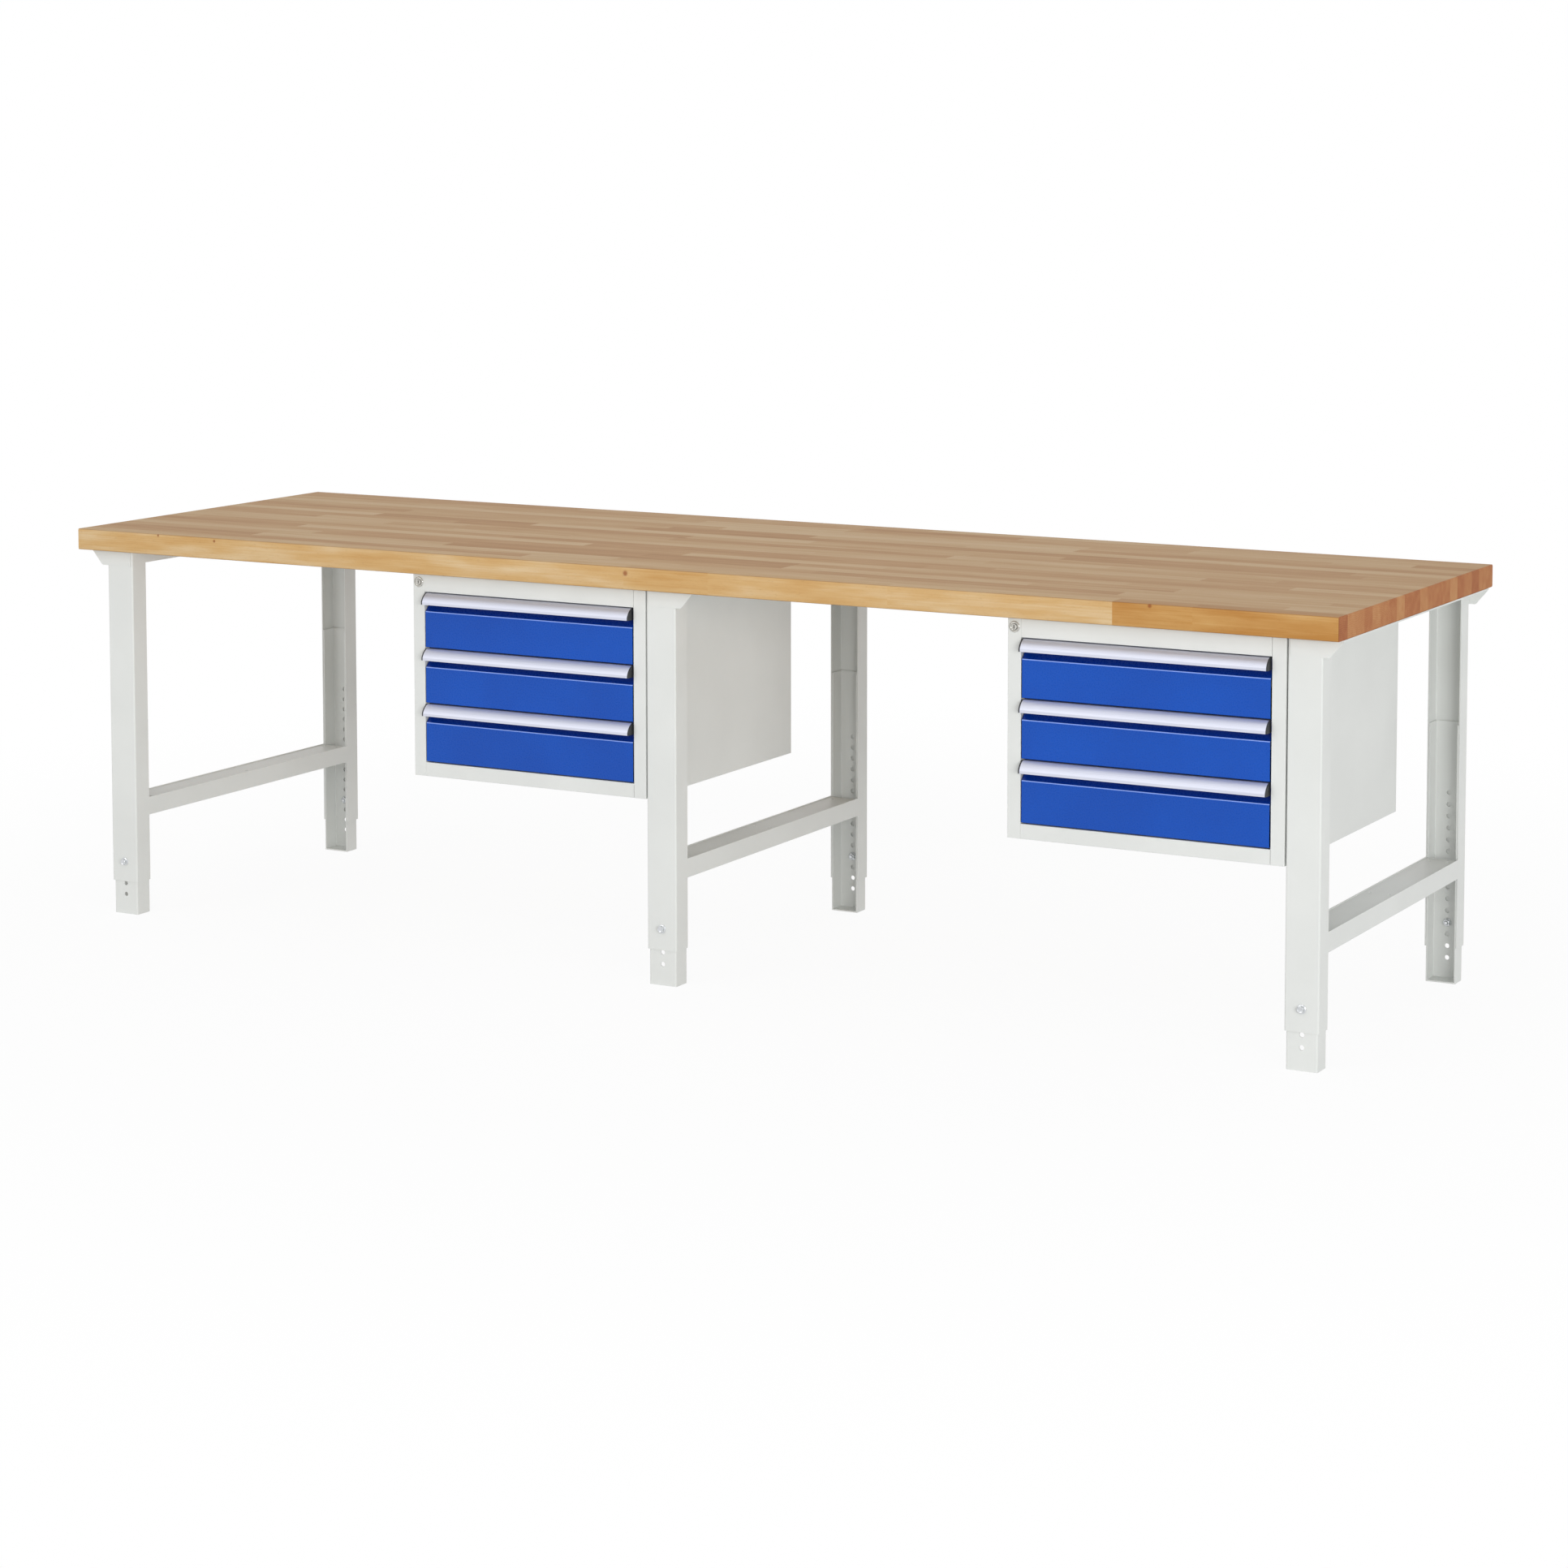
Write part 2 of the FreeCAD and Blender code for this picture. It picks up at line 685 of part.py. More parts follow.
def make_housing(side, cabinet):
    """The cabinet's shell, open at the front, with screw holes in its top."""
    depth = "cabinet_depth - frame_sheet"
    shell = new_body(f"{side}_shell", cabinet, "frame_sheet - leg_face", "cabinet_bottom")
    plan = new_sketch(shell, shell.Name + "_plan", "XZ_Plane")
    rectangle(plan, "0", "0", "cabinet_width", "cabinet_height")
    pad(shell, shell.Name + "_block", plan, depth, True)
    inside = new_sketch(shell, shell.Name + "_inside_plan", "XZ_Plane")
    far_side = "cabinet_width - cabinet_sheet"
    rectangle(inside, "cabinet_sheet", "cabinet_sheet", far_side, "cabinet_height - cabinet_sheet")
    pocket(shell, shell.Name + "_inside", inside, False, f"{depth} - cabinet_sheet")
    holes = new_sketch(shell, shell.Name + "_hole_plan", "XY_Plane", "cabinet_height - cabinet_sheet")
    for x in ("cabinet_screw_side_inset", "cabinet_width - cabinet_screw_side_inset"):
        for y in ("cabinet_screw_end_inset", "cabinet_depth - cabinet_screw_end_inset"):
            circle(holes, x, f"{y} - frame_sheet", "pilot_diameter")
    pocket(shell, shell.Name + "_holes", holes, True)
    node(shell, f"{side}_cabinet_housing")


def folded_strip(strip, plane, corners, length, eased_corners):
    """Pads a folded profile along its plane's normal and rounds the edges along the named corners."""
    profile = outline(new_sketch(strip, strip.Name + "_profile", plane), corners)
    feature = pad(strip, strip.Name + "_strip", profile, length)
    axes = plane[:2].lower()
    edges = []
    for place in eased_corners:
        edges += edges_at(feature, on_line(axes, [value(text) for text in place]))
    return rounded(strip, strip.Name + "_eased", feature, edges, "frame_edge_radius")


def make_stile(side, cabinet, hand):
    """A full-height strip of the front frame, with a return on the drawers' side that is notched for the
    housing's top and floor. The left one holds the lock."""
    left = hand == "left"
    edge = cabinet if left else f"{cabinet} + cabinet_width - stile_width"
    stile = new_body(f"{side}_{hand}_stile", edge, "- leg_face", "cabinet_bottom")
    inner = "stile_width - frame_sheet"
    outer_side = [("0", "frame_sheet"), ("0", "0"), ("stile_width", "0")]
    outer_side += [("stile_width", "return_depth"), (inner, "return_depth"), (inner, "frame_sheet")]
    inner_side = [("0", "return_depth"), ("0", "0"), ("stile_width", "0")]
    inner_side += [("stile_width", "frame_sheet"), ("frame_sheet", "frame_sheet"), ("frame_sheet", "return_depth")]
    folded_strip(stile, "XY_Plane", outer_side if left else inner_side, "cabinet_height",
                 [("0", "0"), ("stile_width", "0")])
    notches = new_sketch(stile, stile.Name + "_notch_plan", "YZ_Plane")
    rectangle(notches, "frame_sheet", "0", "return_depth", "cabinet_sheet")
    rectangle(notches, "frame_sheet", "cabinet_height - cabinet_sheet", "return_depth", "cabinet_height")
    pocket(stile, stile.Name + "_notches", notches, True)
    if left:
        hole = new_sketch(stile, stile.Name + "_lock_plan", "XZ_Plane")
        circle(hole, "lock_place", "lock_level - cabinet_bottom", "lock_barrel_diameter + 2 * lock_fit")
        pocket(stile, stile.Name + "_lock_hole", hole)
    return stile


def make_crossbar(side, cabinet, level):
    """A strip of the front frame between the stiles, with a return on the drawers' side."""
    upper = level == "top"
    height = "top_band" if upper else "bottom_band"
    bottom = "opening_top" if upper else "cabinet_bottom"
    bar = new_body(f"{side}_{level}_bar", f"{cabinet} + stile_width + frame_seam", "- leg_face", bottom)
    under = f"{height} - frame_sheet"
    return_below = [("0", "0"), ("return_depth", "0"), ("return_depth", "frame_sheet")]
    return_below += [("frame_sheet", "frame_sheet"), ("frame_sheet", height), ("0", height)]
    return_above = [("0", "0"), ("frame_sheet", "0"), ("frame_sheet", under)]
    return_above += [("return_depth", under), ("return_depth", height), ("0", height)]
    folded_strip(bar, "YZ_Plane", return_below if upper else return_above, "opening_width - 2 * frame_seam",
                 [("0", "0"), ("0", height)])
    return bar


def make_front_frame(side, cabinet):
    """Two stiles over the full height and two crossbars between them, with thin seams."""
    stiles = [make_stile(side, cabinet, hand) for hand in HANDS]
    crossbars = [make_crossbar(side, cabinet, level) for level in ("top", "bottom")]
    node(group(f"{side}_frame_set", stiles + crossbars), f"{side}_cabinet_front_frame")


def drawer_top(number):
    """The level of a drawer's handle top, counting the drawers from the top."""
    return f"first_drawer_top - {number} * drawer_pitch"


def runner_floor(number):
    """The level of the inside floor of a drawer's runners."""
    return f"{drawer_top(number)} - runner_drop - runner_height / 2"


# The cabinets by name, and each cabinet's two inner sides: whether the side is the left one.
CABINETS = {"left": "left_cabinet", "right": "right_cabinet"}
HANDS = {"left": True, "right": False}
DRAWER_NAMES = ("top", "middle", "bottom")
DRAWERS = range(len(DRAWER_NAMES))


def from_side(cabinet, left, distance, width):
    """Where a thing of some width starts along X, that far in from a cabinet's left or right outer side."""
    if left:
        return f"{cabinet} + {distance}"
    return f"{cabinet} + cabinet_width - ({distance}) - ({width})"


def make_runners():
    """The posts on the cabinets' inner sides, the runner channels on the posts, and their front rollers."""
    posts = []
    runners = []
    rollers = []
    post_core = "post_width - 2 * post_sheet"
    for side, cabinet in CABINETS.items():
        for hand, left in HANDS.items():
            name = f"{side}_{hand}"
            starts = {"front": "front_post", "rear": "cabinet_depth - rear_post_inset - post_width"}
            for end, start in starts.items():
                whole = block(f"{name}_{end}_post_block", "post_depth", "post_width", "housing_inner_height",
                              from_side(cabinet, left, "cabinet_sheet", "post_depth"),
                              f"{start} - leg_face", "housing_inner_bottom")
                hollow = block(f"{name}_{end}_post_hollow", "post_depth - post_sheet + overrun", post_core,
                               "housing_inner_height + 2 * overrun",
                               from_side(cabinet, left, "cabinet_sheet - overrun",
                                         "post_depth - post_sheet + overrun"),
                               f"{start} + post_sheet - leg_face", "housing_inner_bottom - overrun")
                posts.append(cut(f"{name}_{end}_post", whole, hollow))
            for number in DRAWERS:
                floor = runner_floor(number)
                label = f"{name}_{number}"
                whole = block(label + "_runner_block", "runner_depth", "runner_length",
                              "runner_height + 2 * runner_sheet",
                              from_side(cabinet, left, "post_face", "runner_depth"),
                              "runner_front_inset - leg_face", f"{floor} - runner_sheet")
                hollow = block(label + "_runner_hollow", "runner_depth - runner_sheet + overrun",
                               "runner_length + 2 * overrun", "runner_height",
                               from_side(cabinet, left, "post_face + runner_sheet",
                                         "runner_depth - runner_sheet + overrun"),
                               "runner_front_inset - overrun - leg_face", floor)
                runners.append(cut(label + "_runner", whole, hollow))
                x = from_side(cabinet, left, "post_face + runner_sheet", "roller_width")
                rollers.append(rod(label + "_roller", "roller_diameter", "roller_width", x,
                                   "runner_front_inset + roller_inset - leg_face",
                                   f"{floor} + runner_gap + roller_diameter / 2", Y_AXIS, QUARTER_TURN))
    node(group("post_set", posts), "runner_posts")
    node(group("runner_set", runners), "drawer_runners")
    node(group("roller_set", rollers), "runner_rollers")


def make_tray(side, cabinet, number):
    """The drawer's open tray, with a rail and a rear roller on each side and the locking catch on its left."""
    name = f"{side}_tray_{number}"
    top = drawer_top(number)
    floor = runner_floor(number)
    bottom = f"{top} - tray_drop - tray_height"
    tray = new_body(name, f"{cabinet} + tray_side", "tray_front - leg_face", bottom)
    plan = new_sketch(tray, name + "_plan", "XY_Plane")
    rectangle(plan, "0", "0", "tray_width", "tray_depth")
    pad(tray, name + "_block", plan, "tray_height")
    inside = new_sketch(tray, name + "_inside_plan", "XY_Plane", "tray_sheet")
    rectangle(inside, "tray_sheet", "tray_sheet", "tray_width - tray_sheet", "tray_depth - tray_sheet")
    pocket(tray, name + "_inside", inside, True)
    pieces = [tray]
    rail_length = "tray_depth - tray_rail_inset - rear_roller_inset - rear_roller_diameter / 2 - runner_gap"
    for hand, left in HANDS.items():
        x = from_side(cabinet, left, "rail_side", "tray_rail_depth")
        pieces.append(block(f"{name}_{hand}_rail", "tray_rail_depth", rail_length, "tray_rail_height", x,
                            "tray_front + tray_rail_inset - leg_face",
                            f"{floor} + roller_diameter + 2 * runner_gap"))
        pieces.append(rod(f"{name}_{hand}_roller", "rear_roller_diameter", "tray_rail_depth", x,
                          "rear_roller_place - leg_face", f"{floor} + runner_height / 2",
                          Y_AXIS, QUARTER_TURN))
    pieces.append(block(name + "_catch", "catch_reach", "catch_thickness", "catch_height",
                        f"{cabinet} + tray_side - catch_reach", "catch_place - leg_face",
                        f"{top} - catch_drop"))
    node(group(name + "_set", pieces), f"{side}_{DRAWER_NAMES[number]}_drawer_box")


def make_front(side, cabinet, number):
    """One folded sheet: a bottom return, the face, the sloping finger recess and a flange for the handle."""
    name = f"{side}_front_{number}"
    last = number == DRAWERS[-1]
    height = "bottom_front_height" if last else "front_height"
    top = drawer_top(number)
    front = new_body(name, f"{cabinet} + stile_width + drawer_side_gap", "- leg_face", f"{top} - ({height})")
    bend = f"{height} - bend_drop"
    slope_end = f"{bend} + recess_rise"
    inner_drop = "front_sheet * recess_half_turn"
    flange_top = f"{height} - handle_wall"
    corners = [
        ("0", "0"),
        ("front_return", "0"),
        ("front_return", "front_sheet"),
        ("front_sheet", "front_sheet"),
        ("front_sheet", f"{bend} - {inner_drop}"),
        ("tray_front", f"{slope_end} - {inner_drop}"),
        ("tray_front", flange_top),
        ("recess_depth", flange_top),
        ("recess_depth", slope_end),
        ("0", bend),
    ]
    profile = outline(new_sketch(front, name + "_profile", "YZ_Plane"), corners)
    feature = pad(front, name + "_sheet", profile, "front_width")
    for bent, spot in (("front", (0, 0)), ("recess", (0, value(bend)))):
        edges = edges_at(feature, on_line("yz", spot))
        feature = rounded(front, f"{name}_{bent}_bend", feature, edges, f"{bent}_bend_radius")
    node(front, f"{side}_{DRAWER_NAMES[number]}_drawer_front")


def make_handle(side, cabinet, number):
    """An extruded profile with a bulging face and a lip, and a flat cap on each end."""
    name = f"{side}_handle_{number}"
    left_end = f"{cabinet} + stile_width + drawer_side_gap"
    bottom = f"{drawer_top(number)} - handle_height"
    place_y = "- handle_reach - leg_face"
    inner_radius = "handle_face_radius - handle_wall"
    under = "handle_height - handle_wall"
    root = "handle_reach + recess_depth"
    corners = [
        ("0", "0"),
        ("handle_wall", "0"),
        ("handle_wall", "handle_lip - handle_wall / 2"),
        ("handle_reach + handle_wall / 2", under),
        (f"{root} - handle_wall", under),
        (f"{root} - handle_wall", "handle_height - handle_root_height"),
        (root, "handle_height - handle_root_height"),
        (root, "handle_height"),
        ("handle_reach", "handle_height"),
        ("0", "handle_lip"),
    ]
    handle = new_body(name, f"{left_end} + cap_thickness", place_y, bottom)
    arcs = {2: (inner_radius, False), 8: ("handle_face_radius", True)}
    profile = outline(new_sketch(handle, name + "_profile", "YZ_Plane"), corners, arcs)
    pad(handle, name + "_bar", profile, "handle_length")
    node(handle, f"{side}_{DRAWER_NAMES[number]}_drawer_handle")
    caps = []
    cap_corners = [
        ("0", "0"),
        ("handle_reach + cap_depth", "0"),
        ("handle_reach + cap_depth", "handle_height"),
        ("handle_reach", "handle_height"),
        ("0", "handle_lip"),
    ]
    for hand, start in (("left", left_end), ("right", f"{left_end} + cap_thickness + handle_length")):
        cap = new_body(f"{name}_{hand}_cap", start, place_y, bottom)
        face = new_sketch(cap, cap.Name + "_outline", "YZ_Plane")
        outline(face, cap_corners, {3: ("handle_face_radius", True)})
        pad(cap, cap.Name + "_plate", face, "cap_thickness")
        caps.append(cap)
    node(group(name + "_cap_set", caps), f"{side}_{DRAWER_NAMES[number]}_drawer_handle_caps")


def make_locks():
    """The lock bodies in the left stiles: a ring in front of a barrel, bored for the plug."""
    bodies = []
    for side, cabinet in CABINETS.items():
        x = f"{cabinet} + lock_place"
        ring = rod(f"{side}_lock_ring", "lock_ring_diameter", "lock_ring_thickness",
                   x, "- leg_face", "lock_level", X_AXIS, QUARTER_TURN)
        barrel = rod(f"{side}_lock_barrel", "lock_barrel_diameter", "lock_barrel_length",
                     x, "lock_barrel_length - leg_face", "lock_level", X_AXIS, QUARTER_TURN)
        bore_length = "lock_barrel_length + lock_ring_thickness + 2 * overrun"
        bore = rod(f"{side}_lock_bore", "plug_diameter + 2 * lock_fit", bore_length,
                   x, "lock_barrel_length + overrun - leg_face", "lock_level", X_AXIS, QUARTER_TURN)
        bodies.append(cut(f"{side}_lock_shell", joined(f"{side}_lock_blank", ring, barrel), bore))
    node(group("lock_set", bodies), "lock_bodies")


def make_lock_plug(side, cabinet):
    """The turning plug with its keyway, and behind it the cam with a pin that lifts the locking bar."""
    x = f"{cabinet} + lock_place"
    name = f"{side}_plug"
    front = "- leg_face - lock_ring_thickness - plug_proud"
    plug_length = "cam_front + lock_ring_thickness + plug_proud"
    core = rod(name + "_core", "plug_diameter", plug_length, x, "cam_front - leg_face", "lock_level",
               X_AXIS, QUARTER_TURN)
    keyway = block(name + "_keyway", "keyway_width", "keyway_depth + overrun", "keyway_length",
                   f"{x} - keyway_width / 2", f"{front} - overrun", "lock_level - keyway_length / 2")
    cam_y = "cam_front - leg_face"
    hub = rod(name + "_hub", "cam_width + lock_fit", "cam_thickness", x,
              f"{cam_y} + cam_thickness", "lock_level", X_AXIS, QUARTER_TURN)
    arm = doc.addObject("Part::Box", name + "_arm")
    arm_angle = FreeCAD.Rotation(Y_AXIS, SIZES["cam_half_swing"])
    arm.Placement = FreeCAD.Placement(FreeCAD.Vector(), arm_angle)
    bind(arm, {"Length": "cam_radius", "Width": "cam_thickness", "Height": "cam_width"})
    seat(arm, f"{x} - cam_width / 2 * sin(cam_half_swing * 1 deg)", cam_y,
         "lock_level - cam_width / 2 * cos(cam_half_swing * 1 deg)")
    tip = rod(name + "_tip", "cam_width", "cam_thickness", f"{x} + pin_side",
              f"{cam_y} + cam_thickness", "lock_level - pin_fall", X_AXIS, QUARTER_TURN)
    pin_length = "cam_thickness + locking_gap + locking_bar_thickness"
    pin = rod(name + "_pin", "cam_pin_diameter", pin_length, f"{x} + pin_side",
              f"{cam_y} + {pin_length}", "lock_level - pin_fall", X_AXIS, QUARTER_TURN)
    solid = joined(name + "_solid", core, hub, arm, tip, pin)
    node(cut(name + "_turned", solid, keyway), f"{side}_lock_plug")


def make_locking_bar(side, cabinet):
    """A flat bar behind the left stile, forked at the top for the cam's pin, with a tab for each drawer."""
    name = f"{side}_locking"
    y = "locking_bar_front - leg_face"
    strip = block(name + "_strip", "locking_bar_width", "locking_bar_thickness",
                  "locking_bar_top - locking_bar_bottom", f"{cabinet} + locking_bar_left", y,
                  "locking_bar_bottom")
    fork = block(name + "_fork", "locking_bar_width", "locking_bar_thickness + 2 * overrun",
                 "2 * fork_half_height", f"{cabinet} + fork_start", f"{y} - overrun",
                 "lock_level - pin_fall - fork_half_height")
    tabs = []
    for number in DRAWERS:
        tabs.append(block(f"{name}_tab_{number}", "tab_reach", "locking_bar_thickness", "tab_height",
                          f"{cabinet} + locking_bar_left + locking_bar_width", y,
                          f"{drawer_top(number)} - tab_drop"))
    node(cut(name + "_bar", joined(name + "_blank", strip, *tabs), fork), f"{side}_locking_bar")


make_worktop()
for frame_side, (frame_place, reaches_left) in FRAMES.items():
    for leg_end in ENDS:
        make_outer_leg(frame_side, leg_end, frame_place)
        make_inner_leg(frame_side, leg_end, frame_place)
    make_stretcher(frame_side, frame_place)
    make_top_rail(frame_side, frame_place, reaches_left)
make_fasteners()
make_runners()
make_locks()
for cabinet_side, cabinet_place in CABINETS.items():
    make_housing(cabinet_side, cabinet_place)
    make_front_frame(cabinet_side, cabinet_place)
    make_lock_plug(cabinet_side, cabinet_place)
    make_locking_bar(cabinet_side, cabinet_place)
    for drawer in DRAWERS:
        make_tray(cabinet_side, cabinet_place, drawer)
        make_front(cabinet_side, cabinet_place, drawer)
        make_handle(cabinet_side, cabinet_place, drawer)

doc.recompute()
for thing in doc.Objects:
    if "Invalid" in thing.State or "Error" in thing.State:
        raise RuntimeError(f"{thing.Label} failed: {thing.State}")
for thing in nodes:
    if thing.Shape.isNull() or not thing.Shape.isValid():
        raise RuntimeError(f"{thing.Label} has no valid shape")

os.makedirs("parts", exist_ok=True)
for thing in nodes:
    thing.Shape.exportStep(f"parts/{thing.Label}.step")
print(len(nodes), "nodes,", sum(len(thing.Shape.Solids) for thing in nodes), "solids")
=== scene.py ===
"""A height-adjustable workbench: beech worktop, grey sheet-steel frames and two cabinets of blue drawers."""

import math

import bpy
import numpy as np
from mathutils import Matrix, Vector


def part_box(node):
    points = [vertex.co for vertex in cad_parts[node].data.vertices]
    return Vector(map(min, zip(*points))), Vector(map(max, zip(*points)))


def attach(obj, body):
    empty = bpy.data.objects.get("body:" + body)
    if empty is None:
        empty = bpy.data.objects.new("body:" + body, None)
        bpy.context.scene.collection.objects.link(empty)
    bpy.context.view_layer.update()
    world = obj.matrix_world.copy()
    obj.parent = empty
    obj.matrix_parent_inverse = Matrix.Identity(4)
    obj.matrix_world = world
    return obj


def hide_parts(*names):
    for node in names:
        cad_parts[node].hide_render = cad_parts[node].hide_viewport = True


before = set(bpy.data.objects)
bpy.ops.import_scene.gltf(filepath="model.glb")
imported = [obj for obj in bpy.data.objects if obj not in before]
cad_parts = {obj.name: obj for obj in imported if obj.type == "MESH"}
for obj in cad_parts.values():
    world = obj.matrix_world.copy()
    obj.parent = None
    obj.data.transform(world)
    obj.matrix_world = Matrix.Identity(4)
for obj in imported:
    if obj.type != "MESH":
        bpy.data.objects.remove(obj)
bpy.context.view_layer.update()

MM = 0.001

# The photograph's frame in pixels, and the camera that fits it.
PHOTO_SIDE = 1932
PRINCIPAL_X = 1010
PRINCIPAL_Y = 510
FOCAL_PIXELS = 4471.3
SENSOR = 36
CAMERA_PLACE = (3.8529, -6.7748, 1.8126)
CAMERA_YAW = 28.62
CAMERA_PITCH = -4.782

# The light: the world's strength, where the soft boxes point, and the boxes as (name, place, width, height,
# watts). Lengths are in metres.
WORLD_STRENGTH = 0.53
BENCH_MIDDLE = (0.2, 0.0, 0.6)
SOFT_BOXES = [
    ("key_box", (10.8, -9.6, 2.2), 7.0, 4.0, 765.0),
    ("front_box", (-4.3, -8.0, 3.9), 4.6, 4.2, 108.0),
    ("top_box", (0.0, 0.0, 5.0), 5.0, 3.0, 27.0),
    ("strip_box", (0.8, -4.5, 4.5), 4.0, 0.25, 22.0),
]

SIDES = ("left", "right")
FRAMES = ("left", "middle", "right")
ENDS = ("front", "rear")
LEVELS = ("top", "middle", "bottom")

# The worktop: rows of staves, their lengths, the shortest piece left at an end, and the radius of the arris.
STAVE_ROWS = 20
STAVE_LENGTHS = (350 * MM, 950 * MM)
SHORTEST_PIECE = 60 * MM
ARRIS = 2.5 * MM
# The front row's butt joints, as x in metres, and its staves' tones, from the left.
FRONT_JOINTS = (-0.06, 0.142, 0.554, 1.04, 1.206)
FRONT_TONES = (0.76, 0.66, 0.72, 0.84, 0.2, 0.06)
# Pin knots on the front edge: x, z and radius in metres.
KNOTS = ((-1.272, 0.872, 0.004), (-1.116, 0.868, 0.0045), (-0.055, 0.862, 0.008), (1.118, 0.8712, 0.006))

# Where a blue front's painted highlight over the bend and its painted shade in the hollow behind the bend start
# and where they are full, by how far the surface looks up: 0 is level and 1 is straight up.
PAINTED_HIGHLIGHT_LOOKS_UP = (0.04, 0.09)
PAINTED_SHADE_LOOKS_UP = (0.64, 0.69)

# The M8 bolts and nuts. A profile is (distance outwards, radius) in millimetres.
BOLT_RADIUS = 4 * MM
BOLT_PAST_SEAT = 10 * MM
BOLT_POINT = 1 * MM
THREAD_PITCH = 1.25 * MM
THREAD_DEPTH = 0.5 * MM
RINGS_PER_TURN = 4
HEXAGON_FLATS = 6.5 * MM
FASTENER_SIDES = 48
BOLT_FLANGE = ((0, 4), (0, 8.6), (0.4, 9), (1.1, 9), (1.9, 7.9))
BOLT_HEAD = ((2.2, 7.2), (2.6, 7.5), (6.9, 7.5), (7.9, 6.2), (8, 5.4), (7.5, 4.6))
NUT_HEXAGON = ((-8, 6), (-7.2, 7.5), (-2.6, 7.5))
NUT_FLANGE = ((-1.9, 7.9), (-1.1, 9), (-0.3, 9), (0, 8.6))
NUT_BORE = ((0, 4.7), (-0.6, 4.12), (-7.4, 4.12), (-8, 4.7))

# The locks: the rolled rim's radius and how far it stands out, then the barrel and the rim as profiles. The
# barrel's distances start at its back end, and the rim's at the stile's face.
LOCK_RIM_RADIUS = 11.25 * MM
LOCK_RIM_PROUD = 2 * MM
LOCK_SIDES = 64
LOCK_BARREL = ((0, 6.2), (0, 8.4), (0.6, 9))
LOCK_RIM = (
    *((0, 9), (0, 11.1), (0.5, 11.25), (1.2, 11.1), (1.75, 10.6), (2, 9.8), (1.9, 9.2)),
    *((1.1, 8.9), (1.1, 8.1), (1.8, 7.8), (1.9, 7.2), (1.4, 6.4), (0.6, 6.2)),
)


def linear(hex_colour):
    """An sRGB hex colour as linear RGBA."""
    channels = np.array([int(hex_colour[i : i + 2], 16) for i in (1, 3, 5)]) / 255
    curve = np.where(channels <= 0.04045, channels / 12.92, ((channels + 0.055) / 1.055) ** 2.4)
    return (*curve.tolist(), 1.0)


def first_output(given):
    """A node's first output that is in use."""
    return next(socket for socket in given.outputs if socket.enabled)


def put(tree, kind, inputs=None, stops=None, **settings):
    """Adds a node with its settings. An input is a constant, or a node or socket to link from. Stops are the
    (position, hex colour) pairs of a colour ramp."""
    made = tree.nodes.new(kind)
    for name, setting in settings.items():
        setattr(made, name, setting)
    for name, given in (inputs or {}).items():
        if isinstance(given, bpy.types.Node):
            given = first_output(given)
        if isinstance(given, bpy.types.NodeSocket):
            tree.links.new(given, made.inputs[name])
        else:
            made.inputs[name].default_value = given
    if stops:
        elements = made.color_ramp.elements
        while len(elements) < len(stops):
            elements.new(1.0)
        for element, (position, colour) in zip(elements, stops):
            element.position = position
            element.color = linear(colour)
    return made


def start_material(name):
    """A new material with its tree, its surface shader and the object coordinates in metres."""
    made = bpy.data.materials.new(name)
    made.use_nodes = True
    tree = made.node_tree
    surface = tree.nodes["Principled BSDF"]
    place = put(tree, "ShaderNodeTexCoord").outputs["Object"]
    return made, tree, surface, place


def finish_material(tree, surface, colour, height, depth, strength, roughness=None):
    """Joins a colour, a bump of the given depth and, where given, a roughness to the surface shader."""
    skin = put(tree, "ShaderNodeBump", {"Height": height, "Strength": strength, "Distance": depth})
    tree.links.new(first_output(colour), surface.inputs["Base Color"])
    tree.links.new(skin.outputs["Normal"], surface.inputs["Normal"])
    if roughness:
        tree.links.new(roughness.outputs["Result"], surface.inputs["Roughness"])


def powder_coat(name, pale, deep, roughness, gloss, painted_bend_highlight=None, painted_hollow_shade=None):
    """Baked powder coat on sheet steel: an even colour with a faint cloudiness and a fine orange-peel skin.
    The peel is about 1 mm across on the real sheet and is drawn at 3 mm, so that it shows. Where two more
    colours are given, a painted highlight pales a bend that turns upwards and painted shade deepens the hollow."""
    made, tree, surface, place = start_material(name)
    cloud_size, peel_size = 180 * MM, 3 * MM
    roughness_spread = 0.05
    cloud = put(tree, "ShaderNodeTexNoise", {"Vector": place, "Scale": 1 / cloud_size, "Detail": 3.0})
    peel = put(tree, "ShaderNodeTexNoise", {"Vector": place, "Scale": 1 / peel_size, "Detail": 2.0})
    tone = put(tree, "ShaderNodeValToRGB", {"Fac": cloud}, [(0.35, deep), (0.65, pale)])
    if painted_bend_highlight:
        facing = put(tree, "ShaderNodeNewGeometry").outputs["True Normal"]
        upward = put(tree, "ShaderNodeSeparateXYZ", {"Vector": facing}).outputs["Z"]
        # The pale colour over the bend is a painted highlight, and the deep colour in the hollow is painted
        # shade.
        for colour, (start, full) in ((painted_bend_highlight, PAINTED_HIGHLIGHT_LOOKS_UP), (painted_hollow_shade, PAINTED_SHADE_LOOKS_UP)):
            painted_light_mask = put(tree, "ShaderNodeMapRange", {"Value": upward, "From Min": start, "From Max": full})
            tone = put(tree, "ShaderNodeMix", {0: painted_light_mask, 6: tone, 7: linear(colour)}, data_type="RGBA")
    rough = put(
        tree,
        "ShaderNodeMapRange",
        {"Value": peel, "To Min": roughness - roughness_spread, "To Max": roughness + roughness_spread},
    )
    finish_material(tree, surface, tone, peel, depth=0.3 * MM, strength=0.06, roughness=rough)
    surface.inputs["IOR"].default_value = 1.5
    surface.inputs["Specular IOR Level"].default_value = gloss
    return made


